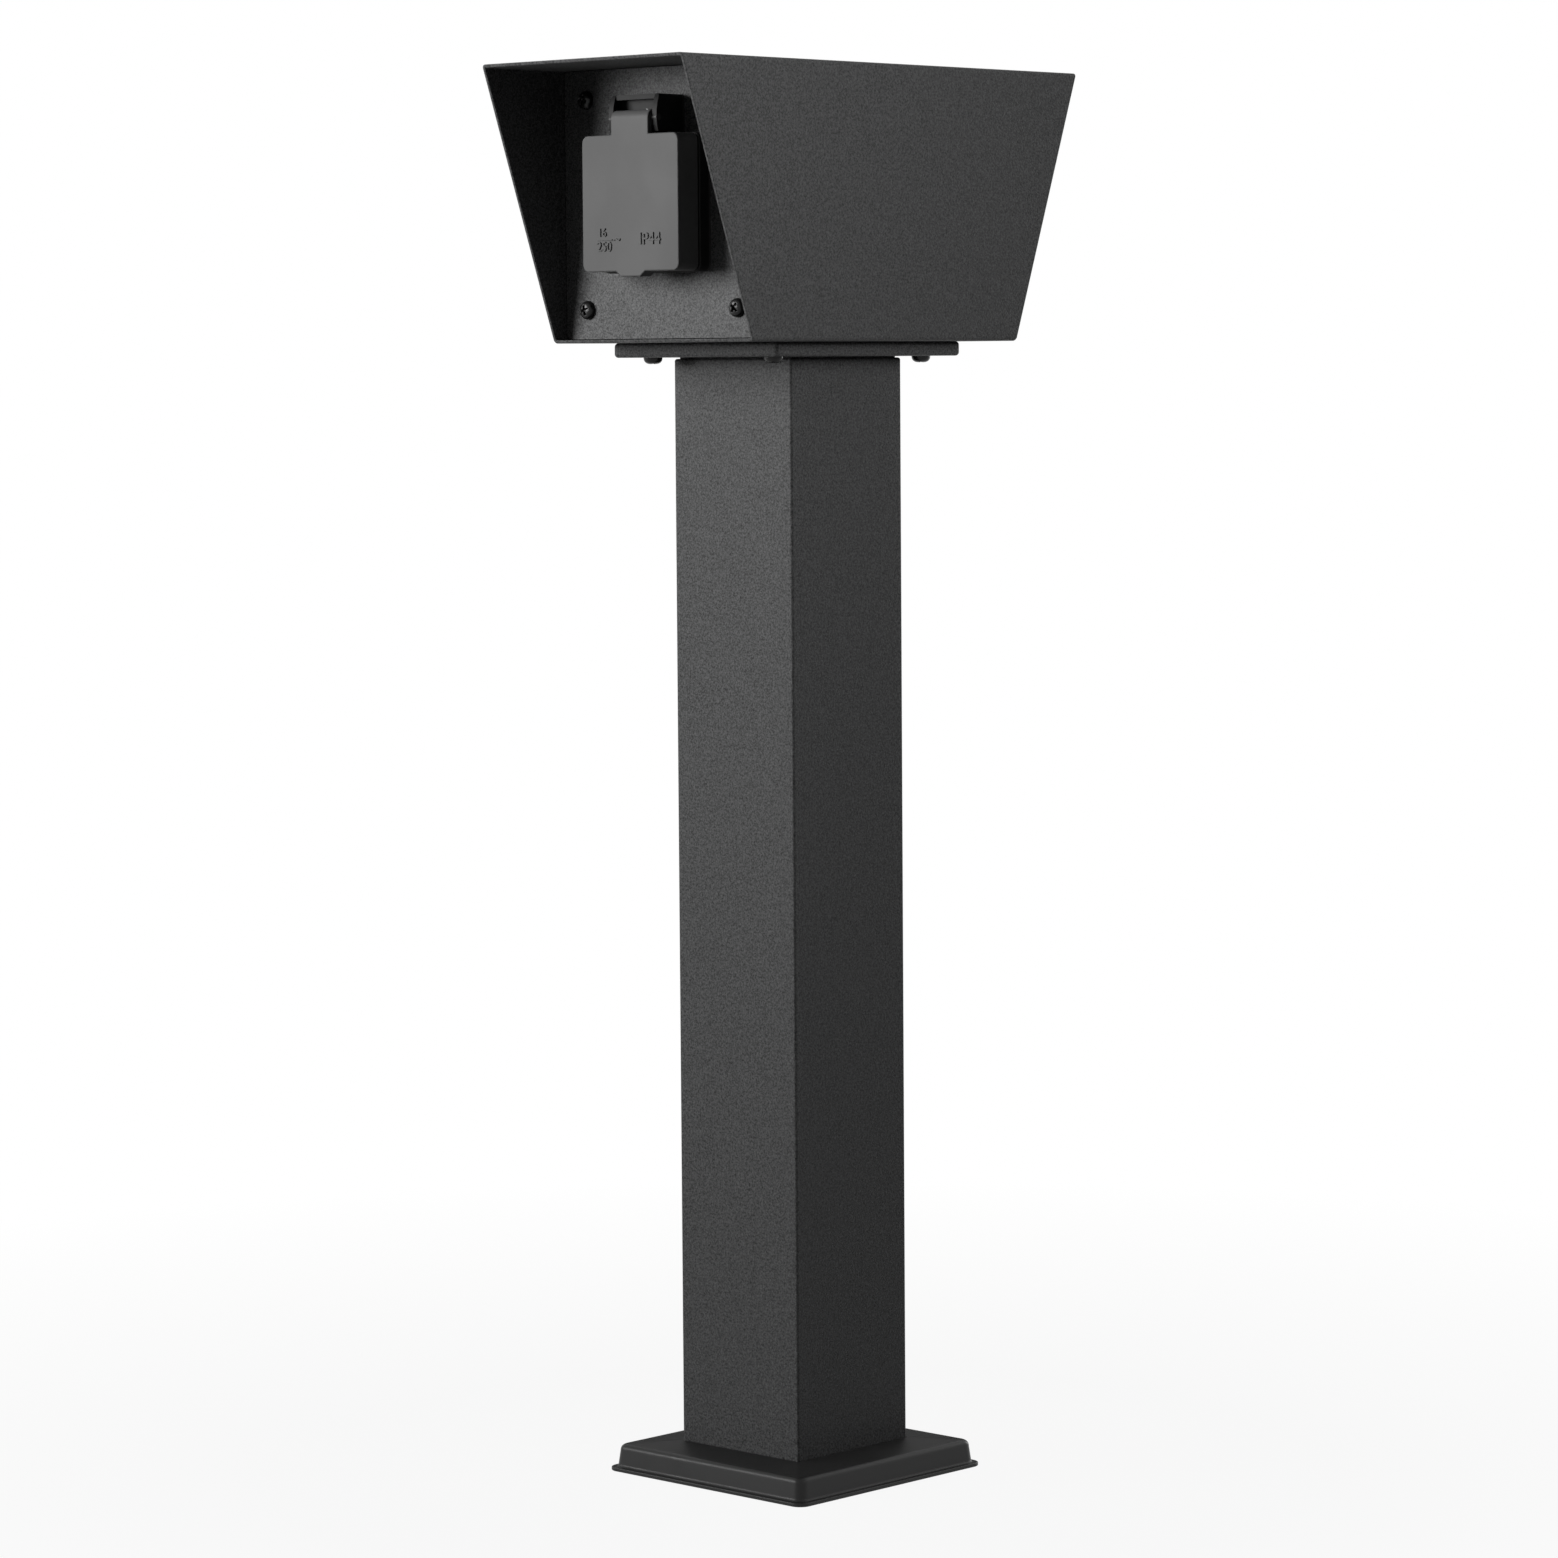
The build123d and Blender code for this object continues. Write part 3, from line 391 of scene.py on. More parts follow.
class PaintGrain(EffectGroup):
    """The fine texture of a baked powder coat: small rounded grains with finer specks between them."""

    title = "Paint grain"
    outputs = ("Height", "Speck")
    roundness = 0.6
    fine_scale, broad_scale = 2.3, 0.9
    dome_share, fine_share = 0.6, 0.45
    speck_span = (0.36, 0.64)

    @classmethod
    def fill(cls, tree: Tree, place: Socket, count: Socket, wanted: bpy.types.NodeInputs) -> None:
        """Height mixes rounded cells with a fine noise. Speck mixes that noise with a broader one."""
        cells = tree.node("TexVoronoi", {"feature": "SMOOTH_F1"}, Vector=place, Scale=count,
                          Smoothness=cls.roundness)
        dome = tree.math("SUBTRACT", 1.0, cells.outputs["Distance"])
        fine = tree.noise(place, tree.math("MULTIPLY", count, cls.fine_scale))
        broad = tree.noise(place, tree.math("MULTIPLY", count, cls.broad_scale))
        specks = tree.mixed(fine, broad, cls.fine_share)
        tree.feed(wanted["Height"], tree.mixed(dome, fine, cls.dome_share))
        tree.feed(wanted["Speck"], tree.spread(specks, 0.0, 1.0, *cls.speck_span))


class SlowDrift(EffectGroup):
    """Broad soft patches, as a coat or moulding has from its thickness and handling."""

    title = "Slow drift"
    outputs = ("Mask",)
    span = (0.3, 0.7)

    @classmethod
    def fill(cls, tree: Tree, place: Socket, count: Socket, wanted: bpy.types.NodeInputs) -> None:
        """A noise of few waves, stretched to the whole span from 0 to 1."""
        patches = tree.noise(place, count, detail=3.0, roughness=0.55)
        tree.feed(wanted["Mask"], tree.spread(patches, 0.0, 1.0, *cls.span))


class MouldSkin(EffectGroup):
    """The even, very fine skin that a spark-eroded mould leaves on plastic."""

    title = "Mould skin"
    broad_scale = 0.37
    fine_share = 0.65

    @classmethod
    def fill(cls, tree: Tree, place: Socket, count: Socket, wanted: bpy.types.NodeInputs) -> None:
        """Two noises, a fine one and a broader one, added up."""
        fine = tree.noise(place, count, detail=3.0, roughness=0.6)
        broad = tree.noise(place, tree.math("MULTIPLY", count, cls.broad_scale))
        tree.feed(wanted["Height"], tree.mixed(fine, broad, cls.fine_share))


class ToolLines(EffectGroup):
    """Fine lines along one axis, as drawing, rolling or turning leaves on metal."""

    title = "Tool lines"
    squeeze = (0.01, 1.0, 1.0)

    @classmethod
    def fill(cls, tree: Tree, place: Socket, count: Socket, wanted: bpy.types.NodeInputs) -> None:
        """A noise on a place that is squeezed a hundredfold along X, so that its waves run along X."""
        squeezed = tree.node("VectorMath", {"operation": "MULTIPLY"}, Vector=place)
        squeezed.inputs[1].default_value = cls.squeeze
        tree.feed(wanted["Height"], tree.noise(squeezed.outputs[0], count, roughness=0.6))


def grey(value: float, warmth: float = 0.0) -> tuple[float, ...]:
    """A neutral colour, a little redder for a positive warmth and bluer for a negative one."""
    return (value * (1 + warmth), value, value * (1 - warmth), 1.0)


@dataclass(frozen=True)
class Finish:
    """What all finishes share.

    shade is the share of light that the surface sends back, and tint its colour beside a neutral
    grey. tones say how dark and how light the slow patches are, and patches how many lie in a
    metre. effect is the kind of the fine marks, marks how many lie in a metre, and bump and relief
    their strength and their depth in metres. rough is the lowest and the highest roughness, which
    follows the marks with rough_marks, or else the patches. gloss is the reflection's strength.
    """

    name: str
    shade: float
    tint: Triple = (1.0, 1.0, 1.0)
    tones: tuple[float, float] = (0.93, 1.07)
    patches: float = 45.0
    effect: type[EffectGroup] = MouldSkin
    marks: float = 3200.0
    bump: float = 0.2
    relief: float = 0.00002
    rough: tuple[float, float] = (0.45, 0.56)
    rough_marks: bool = False
    gloss: float = 0.5
    metallic: float = 0.0

    def material(self) -> bpy.types.Material:
        """The finish's material, made at the first call."""
        found = bpy.data.materials.get(self.name)
        if found:
            return found
        made = bpy.data.materials.new(self.name)
        made.use_nodes = True
        made.node_tree.nodes.clear()
        tree = Tree(made.node_tree)
        place = tree.node("TexCoord").outputs["Object"]
        patches = tree.effect(SlowDrift, place, self.patches)["Mask"]
        tree.node("OutputMaterial", Surface=self.surface(tree, place, patches))
        return made

    def surface(self, tree: Tree, place: Socket, patches: Socket) -> Socket:
        """The shader that the material shows.

        Args:
            tree: the material's tree.
            place: the object's own coordinates.
            patches: the mask of the slow patches.

        Returns:
            The shader's socket.
        """
        marks = tree.effect(self.effect, place, self.marks)
        bump = tree.node("Bump", Strength=self.bump, Distance=self.relief, Height=marks["Height"])
        wear = marks["Height"] if self.rough_marks else patches
        shader = self.shader(tree, self.colour(tree, place, patches, marks), wear)
        tree.feed(shader.inputs["Normal"], bump.outputs[0])
        return shader.outputs[0]

    def shader(self, tree: Tree, colour: Socket, wear: Socket) -> bpy.types.Node:
        """A smooth surface of that colour, rougher where wear is nearer to 1."""
        return tree.node("BsdfPrincipled", Base_Color=colour, Metallic=self.metallic,
                         Roughness=tree.spread(wear, *self.rough), Specular_IOR_Level=self.gloss)

    def colour(self, tree: Tree, place: Socket, patches: Socket, marks: Outputs) -> Socket:
        """The colour, between its two tones by the mask of the patches."""
        return tree.blend(patches, *[self.tone(share) for share in self.tones])

    def tone(self, share: float) -> tuple[float, ...]:
        """The finish's colour, made darker or lighter by a share."""
        return tuple(self.shade * share * part for part in self.tint) + (1.0,)


@dataclass(frozen=True)
class PowderCoat(Finish):
    """Baked powder paint with a dry texture. contrast is how far its specks differ from the shade."""

    tones: tuple[float, float] = (0.97, 1.03)
    patches: float = 16.0
    effect: type[EffectGroup] = PaintGrain
    marks: float = 1400.0
    bump: float = 0.7
    relief: float = 0.00014
    rough: tuple[float, float] = (0.55, 0.59)
    gloss: float = 0.14
    contrast: float = 0.78
    speck_warmth: float = -0.01

    def colour(self, tree: Tree, place: Socket, patches: Socket, marks: Outputs) -> Socket:
        """Dark and light specks, which the patches darken or lighten a little."""
        dark = grey(self.shade * (1 - self.contrast))
        light = grey(self.shade * (1 + self.contrast), self.speck_warmth)
        varied = tree.node("HueSaturation", Color=tree.blend(marks["Speck"], dark, light),
                           Value=tree.spread(patches, *self.tones))
        return varied.outputs[0]


@dataclass(frozen=True)
class Moulding(Finish):
    """Moulded plastic with a satin skin, a little paler where the skin stands out."""

    bump: float = 0.4
    relief: float = 0.00004
    gloss: float = 0.4
    peak_tone: float = 1.35
    peak_share: float = 0.25

    def colour(self, tree: Tree, place: Socket, patches: Socket, marks: Outputs) -> Socket:
        """The patches' colour, mixed with a paler one by the skin's height."""
        base = super().colour(tree, place, patches, marks)
        share = tree.math("MULTIPLY", marks["Height"], self.peak_share)
        return tree.blend(share, base, self.tone(self.peak_tone))


@dataclass(frozen=True)
class Metal(Finish):
    """Bare or plated metal, with fine tool lines in its height and its roughness."""

    tones: tuple[float, float] = (0.82, 1.05)
    patches: float = 120.0
    effect: type[EffectGroup] = ToolLines
    marks: float = 2500.0
    bump: float = 0.25
    rough_marks: bool = True
    metallic: float = 1.0


@dataclass(frozen=True)
class BlackPlate(Finish):
    """Dark plating on steel screws, slightly uneven from the plating bath."""

    tones: tuple[float, float] = (0.7, 1.4)
    patches: float = 300.0
    marks: float = 2600.0
    rough: tuple[float, float] = (0.22, 0.36)
    gloss: float = 0.2


@dataclass(frozen=True)
class Rubber(Finish):
    """Matt black rubber with a dusty bloom, which is paler and warmer than the rubber."""

    patches: float = 90.0
    marks: float = 1800.0
    bump: float = 0.35
    relief: float = 0.00005
    rough: tuple[float, float] = (0.7, 0.9)
    rough_marks: bool = True
    gloss: float = 0.35
    bloom: float = 1.8
    bloom_warmth: float = 0.03

    def colour(self, tree: Tree, place: Socket, patches: Socket, marks: Outputs) -> Socket:
        """A dark base with pale bloom in broad patches."""
        bloom = grey(self.shade * self.bloom, self.bloom_warmth)
        return tree.blend(patches, grey(self.shade), bloom)


@dataclass(frozen=True)
class Insulation(Finish):
    """The soft plastic round a lead's copper, in one colour or in two alternating stripes."""

    tones: tuple[float, float] = (0.85, 1.1)
    patches: float = 160.0
    marks: float = 2400.0
    relief: float = 0.00003
    rough: tuple[float, float] = (0.35, 0.5)
    stripe: Triple | None = None
    stripes: float = 110.0
    stripe_wander: float = 0.4
    stripe_edge: tuple[float, float] = (0.45, 0.55)

    def colour(self, tree: Tree, place: Socket, patches: Socket, marks: Outputs) -> Socket:
        """The lead's colour, and over it its stripes, which run slantwise."""
        base = super().colour(tree, place, patches, marks)
        if self.stripe is None:
            return base
        waves = tree.node("TexWave", {"bands_direction": "DIAGONAL"}, Vector=place, Scale=self.stripes,
                          Distortion=self.stripe_wander)
        edge = tree.spread(waves.outputs["Fac"], 0.0, 1.0, *self.stripe_edge)
        return tree.blend(edge, base, self.stripe + (1.0,))


@dataclass(frozen=True)
class Paper(Finish):
    """The studio floor: pale and dull, and as white as the backdrop to the camera far from the object.

    near and far are the distances between which the lit paper gives way to white, and near_share is
    how white it is already up to the first.
    """

    tones: tuple[float, float] = (0.99, 1.0)
    patches: float = 2.0
    rough: tuple[float, float] = (0.9, 0.9)
    gloss: float = 0.1
    near: float = 0.2
    far: float = 0.7
    near_share: float = 0.93

    def surface(self, tree: Tree, place: Socket, patches: Socket) -> Socket:
        """Outwards from the object, the camera sees less of the lit paper and more plain white."""
        tones = [self.tone(share) for share in self.tones]
        paper = self.shader(tree, tree.blend(patches, *tones), patches)
        length = tree.node("VectorMath", {"operation": "LENGTH"}, Vector=place)
        share = tree.spread(length.outputs["Value"], self.near_share, 1.0, self.near, self.far)
        path = tree.node("LightPath")
        seen = tree.math("MAXIMUM", path.outputs["Is Camera Ray"], path.outputs["Is Glossy Ray"])
        white = tree.node("Emission", Color=grey(1.0), Strength=1.0)
        mixed = tree.node("MixShader", Fac=tree.math("MULTIPLY", share, seen))
        tree.feed(mixed.inputs[1], paper.outputs[0])
        tree.feed(mixed.inputs[2], white.outputs[0])
        return mixed.outputs[0]


@dataclass(frozen=True)
class Felt(Finish):
    """A dim even grey, for a board that only reflections see."""

    def surface(self, tree: Tree, place: Socket, patches: Socket) -> Socket:
        """The shade itself, as if the board stood in a light of its own."""
        return tree.node("Emission", Color=grey(self.shade), Strength=1.0).outputs[0]


# The finish of each material slot of the record, and after them those of single nodes: copies of a slot's finish,
# lighter for painted light or darker for painted shade.
FINISHES: dict[str, Finish] = {
    "powder_coat": PowderCoat("Powder coat", 0.075),
    "cover_plastic": Moulding("Cover plastic", 0.01, rough=(0.36, 0.47), gloss=0.25),
    "lid_plastic": Moulding("Lid plastic", 0.103, marks=4200.0, rough=(0.45, 0.56), gloss=0.1),
    "socket_plastic": Moulding("Socket plastic", 0.015, rough=(0.43, 0.54), gloss=0.07),
    "black_screws": BlackPlate("Black screws", 0.01),
    "zinc_steel": Metal("Zinc plate", 0.26, tint=(0.97, 1.0, 1.04), rough=(0.47, 0.65)),
    "stainless": Metal("Stainless wire", 0.4, rough=(0.34, 0.52)),
    "brass": Metal("Turned brass", 0.8, tint=(1.0, 0.76, 0.38), rough=(0.2, 0.38)),
    "tinned_copper": Metal("Tinned copper", 0.3, tint=(1.0, 0.98, 0.94), rough=(0.47, 0.65)),
    "rubber": Rubber("Seal rubber", 0.02),
    "block_plastic": Moulding("Block plastic", 0.7, tint=(1.02, 1.0, 0.98), rough=(0.45, 0.56)),
    "lead_brown": Insulation("Brown insulation", 1.0, tint=(0.17, 0.07, 0.03)),
    "lead_blue": Insulation("Blue insulation", 1.0, tint=(0.04, 0.17, 0.5)),
    "lead_green_yellow": Insulation("Striped insulation", 1.0, tint=(0.6, 0.55, 0.03),
                                    stripe=(0.03, 0.3, 0.06)),
    # Painted light: a slightly lighter copy of the powder coat, for the light on the neck plate.
    "neck_plate": PowderCoat("Plate powder coat", 0.078),
    # Painted light: a lighter copy of the powder coat, for the stronger light on the panel; its grain is a little
    # finer and softer.
    "panel": PowderCoat("Panel powder coat", 0.101, marks=1600.0, contrast=0.72),
    # Painted shade: a far darker copy of the stainless steel, which keeps the hinge pin dark and free of
    # highlights between the ears.
    "hinge_pin": Metal("Hinge pin steel", 0.05, rough=(0.52, 0.7)),
}


# Pieces


def make_mesh(name: str, surface: Surface, crease: float = 35.0) -> bpy.types.Object:
    """Makes an object at the origin, with its place in its mesh, facing outwards.

    Args:
        name: the piece's name.
        surface: its points and faces, in the frame of the CAD.
        crease: edges that turn by more than this many degrees stay sharp.

    Returns:
        The new object, linked to the scene.
    """
    mesh = bpy.data.meshes.new(name)
    mesh.from_pydata(surface.points.tolist(), [], surface.faces)
    shape = bmesh.new()
    shape.from_mesh(mesh)
    bmesh.ops.remove_doubles(shape, verts=shape.verts, dist=SAME_PLACE)
    bmesh.ops.recalc_face_normals(shape, faces=shape.faces)
    shape.to_mesh(mesh)
    shape.free()
    mesh.shade_smooth()
    mesh.set_sharp_from_angle(angle=math.radians(crease))
    made = bpy.data.objects.new(name, mesh)
    bpy.context.scene.collection.objects.link(made)
    return made


def make_piece(name: str, surface: Surface, body: str, slot: str, replaces: Sequence[str] = (),
               crease: float = 35.0) -> bpy.types.Object:
    """Makes a piece of the object, dresses it and lets it ride on its body.

    Args:
        name: the piece's name.
        surface: its points and faces, in the frame of the CAD.
        body: the CAD body that it moves with, or an empty word for a piece that rides on no body.
        slot: the record's material slot, whose finish it wears.
        replaces: the CAD nodes that it stands for.
        crease: edges that turn by more than this many degrees stay sharp.

    Returns:
        The new piece.
    """
    made = make_mesh(name, surface, crease)
    made.data.materials.append(FINISHES[slot].material())
    if body:
        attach(made, body)
    if replaces:
        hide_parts(*replaces)
    log.info("%s: %d faces, rides on %s", name, len(made.data.polygons), body)
    return made


@dataclass
class Hood:
    """The folded sheet hood: a tube of rectangular section with a slant cut at each end."""

    bend: float = 0.0015
    inner_bend: float = 0.0004
    sheet: float = 0.0012
    edge: float = 0.0003

    def build(self) -> None:
        """Carries the sheet's thickness round the section and shears its two ends outwards.

        Formula: the profile is the sheet's long section, of places along Y and depths into the sheet.
        Each profile point becomes a ring in X and Z, and each ring point moves outwards along Y by
        the slant times its height over the hood's bottom.
        """
        low, high = corners("hood")
        places = np.array([vertex.co[:] for vertex in frame["nodes"]["hood"].data.vertices])
        at_floor = places[places[:, 2] < low[2] + self.sheet / 2]
        foot = float(np.abs(at_floor[:, 1]).max())
        slant = (high[1] - foot) / (high[2] - low[2])
        section = ((foot, 0.0), (-foot, 0.0), (-foot, self.sheet), (foot, self.sheet))
        profile = rounded_profile([(*point, self.edge) for point in section], steps=4)
        along, inset = profile[:, 0], profile[:, 1]
        width, height = high[0] - low[0], high[2] - low[2]
        radii = np.interp(inset, [0.0, self.sheet], [self.bend, self.inner_bend])
        rings = rounded_rings(width - 2 * inset, height - 2 * inset, radii, along, arc_steps=7)
        over = rings[..., 1] + height / 2
        middle = (low + high) / 2
        y = rings[..., 2] + np.sign(rings[..., 2]) * slant * over
        placed = np.stack([rings[..., 0] + middle[0], y, over + low[2]], axis=-1)
        make_piece("hood_sheet", skin(placed, loop=True), "post", "powder_coat", ["hood"])


@dataclass
class PostTube:
    """The square tube, with its top edge rounded by the coat and the saw's deburring."""

    wall: float = 0.0012
    corner: float = 0.0009
    inner_corner: float = 0.0003
    top_round: float = 0.0009
    edge: float = 0.0002

    def build(self) -> None:
        """Carries the wall's section round the square."""
        low, high = corners("post_tube")
        profile = rounded_profile([(0.0, low[2], self.edge), (0.0, high[2], self.top_round),
                                   (self.wall, high[2], self.edge), (self.wall, low[2], self.edge)])
        radii = np.interp(profile[:, 0], [0.0, self.wall], [self.corner, self.inner_corner])
        rings = carried(profile, high[0] - low[0], radii, arc_steps=7)
        make_piece("post_tube_coated", skin(rings, loop=True), "post", "powder_coat", ["post_tube"])


@dataclass
class BaseCover:
    """The moulded tray over the foot plate, with its flared lip, rounded rim and low crown."""

    lip_out: float = 0.002
    lip_thickness: float = 0.0015
    wall: float = 0.0015
    draft: float = 0.001
    rim_height: float = 0.0099
    rim_round: float = 0.002
    lip_corner: float = 0.0045
    wall_corner: float = 0.0038
    hole_corner: float = 0.0012
    collar_depth: float = 0.003
    foot_round: float = 0.0011
    edge: float = 0.0004
    post_gap: float = 0.0003

    def build(self) -> None:
        """Carries the wall's section round the square, from the lip over the rim to the collar."""
        low, high = corners("base_cover")
        post_low, post_high = corners("post_tube")
        width = high[0] - low[0]
        hole = (width - (post_high[0] - post_low[0])) / 2 - self.post_gap
        outer = self.lip_out + self.draft
        inside = self.rim_height - self.wall
        inner = self.lip_out + self.wall
        profile = rounded_profile([
            (0.0, 0.0, self.edge),
            (0.0, self.lip_thickness, self.edge),
            (self.lip_out, self.lip_thickness, self.foot_round),
            (outer, self.rim_height, self.rim_round),
            (hole, high[2], self.edge),
            (hole, inside - self.collar_depth, self.edge),
            (hole - self.wall, inside - self.collar_depth, self.edge),
            (hole - self.wall, inside, self.edge),
            (inner + self.draft, inside, self.edge * 2),
            (inner, 0.0, self.edge),
        ], steps=6)
        insets = [0.0, self.lip_out, outer + self.rim_round, hole]
        rounds = [self.lip_corner, self.wall_corner, self.wall_corner - self.draft, self.hole_corner]
        rings = carried(profile, width, np.interp(profile[:, 0], insets, rounds), arc_steps=8)
        make_piece("foot_cover", skin(rings, loop=True), "base_cover", "cover_plastic", ["base_cover"])


@dataclass
class PanHeadScrews:
    """Four pan head screws with cross recesses, in the places of one CAD node.

    The head's rings crowd towards its rim by the power crowding, and first_ring is the share that
    sets the innermost. point_start and point_share say where the shank's taper begins, as a share of
    its length, and how thin its tip is. arm_side and arm_end are how wide the cross's slopes are.
    """

    node: str
    head_radius: float = 0.0035
    head_height: float = 0.0024
    shank_radius: float = 0.002
    cross_length: float = 0.0042
    cross_width: float = 0.00095
    cross_depth: float = 0.0014
    arm_side: float = 0.0002
    arm_end: float = 0.0009
    dome_power: float = 3.4
    dome_root: float = 2.2
    crowding: float = 1.7
    first_ring: float = 0.02
    head_rings: int = 30
    head_sides: int = 96
    point_start: float = 0.94
    point_share: float = 0.7
    turns: tuple[float, ...] = (0.5, 0.15, 1.1, 0.85)

    def head(self, twist: float, length: float) -> Surface:
        """One screw along the third axis, its head above zero.

        Formula: the dome's height at radius r is h (1 - (r / R)^p)^(1 / q), with its power p and its
        root q. The cross takes away its depth times the larger of two arms, each a product of two
        smooth steps, one across the arm and one along it.

        Args:
            twist: how far the cross is turned, in radians.
            length: the shank's length.

        Returns:
            The closed surface of the screw.
        """
        share = np.linspace(self.first_ring, 1.0, self.head_rings)
        radius = self.head_radius * (1 - (1 - share) ** self.crowding)
        reach = np.minimum(radius / self.head_radius, 1.0)
        dome = self.head_height * (1 - reach ** self.dome_power) ** (1 / self.dome_root)
        shank = np.array([[self.shank_radius, 0.0], [self.shank_radius, -length * self.point_start],
                          [self.shank_radius * self.point_share, -length]])
        profile = np.vstack([np.stack([radius, dome], axis=1), shank])
        rings = turned(profile, around=self.head_sides)
        along = rings[..., 0] * math.cos(twist) + rings[..., 1] * math.sin(twist)
        across = rings[..., 1] * math.cos(twist) - rings[..., 0] * math.sin(twist)
        cut = np.maximum(self.arm(along, across), self.arm(across, along))
        rings[:len(radius), :, 2] -= self.cross_depth * cut[:len(radius)]
        return skin(rings)

    def arm(self, along: Array, across: Array) -> Array:
        """How deep one arm of the cross is at a place, from 0 to 1."""
        return (smooth_step((self.cross_width / 2 - np.abs(across)) / self.arm_side + 0.5)
                * smooth_step((self.cross_length / 2 - np.abs(along)) / self.arm_end))

    def build(self, out: Array) -> None:
        """Places the four screws at the corners of the node's box.

        Args:
            out: the direction that the heads face.
        """
        low, high = corners(self.node)
        axis = int(np.argmax(np.abs(out)))
        across = [index for index in range(3) if index != axis]
        seat = (high if out[axis] > 0 else low)[axis] - out[axis] * self.head_height
        length = (high - low)[axis] - self.head_height
        upright = np.zeros(3)
        upright[across[0]] = 1.0
        matrix = np.stack([upright, np.cross(out, upright), out], axis=1)
        parts = []
        for twist, sides in zip(self.turns, ((0, 0), (1, 0), (1, 1), (0, 1))):
            place = np.zeros(3)
            place[axis] = seat
            for index, side in zip(across, sides):
                place[index] = high[index] - self.head_radius if side else low[index] + self.head_radius
            parts.append(self.head(twist, length).moved(matrix, place))
        make_piece(f"{self.node}_crossed", Surface.joined(parts), "post", "black_screws", [self.node],
                   crease=50.0)


@dataclass
class SocketEnd:
    """What is built at one end: the lid's spring, its raised marks and the panel's screws.

    Each of the words is its text, its place right of and over the lid's middle, and its height as a
    share of the tallest letters'. size_share is a font's size over its letters' height. The
    fraction's line is its place, its width and its height.
    """

    end: End
    wire: float = 0.0005
    coil_radius: float = 0.0018
    coil_turns: float = 5.0
    coil_points: int = 181
    leg: float = 0.0032
    leg_angle: float = 40.0
    leg_points: int = 9
    mark_rise: float = 0.0004
    letter_height: float = 0.0045
    size_share: float = 1.4
    curve_steps: int = 6
    words: tuple[tuple[str, float, float, float], ...] = (
        ("16", -0.0141, -0.0106, 0.7), ("250", -0.0131, -0.0157, 0.8), ("~", -0.0066, -0.0129, 0.95),
        ("IP44", 0.0102, -0.0132, 1.0))
    fraction_line: tuple[float, float, float, float] = (-0.0130, -0.0131, 0.0078, 0.0004)
    line_round: float = 0.3
    screw_turns: tuple[float, ...] = (0.2, 0.95, 0.6, 1.2)

    @property
    def axes(self) -> Array:
        """The socket's own directions as columns: right for someone facing it, up, and outwards."""
        out = self.end.value
        return np.array([[-out, 0.0, 0.0], [0.0, 0.0, out], [0.0, 1.0, 0.0]])

    def build(self) -> None:
        """Builds the end's new pieces."""
        self.build_spring()
        self.build_marks()
        screws = PanHeadScrews(self.end.node("panel_screws"), turns=self.screw_turns)
        screws.build(np.array([0.0, self.end.value, 0.0]))

    def build_spring(self) -> None:
        """The lid's torsion spring, which twists in the real socket as the lid opens; here it rides on no body.

        Formula: the wire's middle is at angle a on a circle about the hinge axis and moves along the
        axis by an even pitch, with a straight leg along the wire's own way at each end.
        """
        hinge = joint_place(self.end.node("lid_hinge"))
        low, high = corners(self.end.node("lid_spring"))
        half = (high[0] - low[0] - self.wire) / 2
        start, stop = math.radians(self.leg_angle), 2 * math.pi * self.coil_turns
        angle = np.linspace(start, stop, self.coil_points)
        along = np.linspace(-half, half, len(angle))
        up = self.coil_radius * np.sin(angle)
        out = -self.coil_radius * np.cos(angle)
        coil = np.stack([along, up, out], axis=1)
        ends = np.gradient(coil, axis=0)[[0, -1]]
        ends /= np.linalg.norm(ends, axis=1, keepdims=True)
        reach = np.linspace(self.leg, 0.0, self.leg_points)[:-1, None]
        path = np.vstack([coil[0] - reach * ends[0], coil, coil[-1] + reach[::-1] * ends[1]])
        rings = swept(path, self.wire / 2, np.array([1.0, 0.0, 0.0]))
        surface = skin(rings).moved(self.axes, hinge)
        spring = make_piece(self.end.node("coil_spring"), surface, "", "stainless",
                            [self.end.node("lid_spring")])
        self.end.node("lid")
        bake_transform(spring)

    def build_marks(self) -> None:
        """Rating figures on the lid: current over voltage, its kind, and the class of protection."""
        low, high = corners(self.end.node("lid"))
        front = (high if self.end.value > 0 else low)[1]
        middle = np.add(*corners(self.end.node("back_cover"))) / 2
        parts = [self.word(*word) for word in self.words] + [self.bar(*self.fraction_line)]
        surface = Surface.joined(parts).moved(self.axes, np.array([middle[0], front, middle[2]]))
        make_piece(self.end.node("lid_marks"), surface, self.end.node("lid"), "lid_plastic")

    def word(self, text: str, x: float, y: float, share: float) -> Surface:
        """A word in raised letters, centred on a place of the lid's face.

        Args:
            text: what it says.
            x: place to the right of the lid's middle.
            y: place over the lid's middle.
            share: its height as a share of the tallest letters'.

        Returns:
            The letters' surface, as deep in the face as it stands out of it.
        """
        curve = bpy.data.curves.new("word", "FONT")
        curve.body = text
        curve.size = self.letter_height * share * self.size_share
        curve.align_x, curve.align_y = "CENTER", "CENTER"
        curve.extrude = self.mark_rise
        curve.resolution_u = self.curve_steps
        made = bpy.data.objects.new("word", curve)
        bpy.context.scene.collection.objects.link(made)
        mesh = bpy.data.meshes.new_from_object(made)
        points = np.empty(len(mesh.vertices) * 3)
        mesh.vertices.foreach_get("co", points)
        faces = [list(polygon.vertices) for polygon in mesh.polygons]
        bpy.data.objects.remove(made)
        bpy.data.meshes.remove(mesh)
        return Surface(points.reshape(-1, 3) + np.array([x, y, 0.0]), faces)

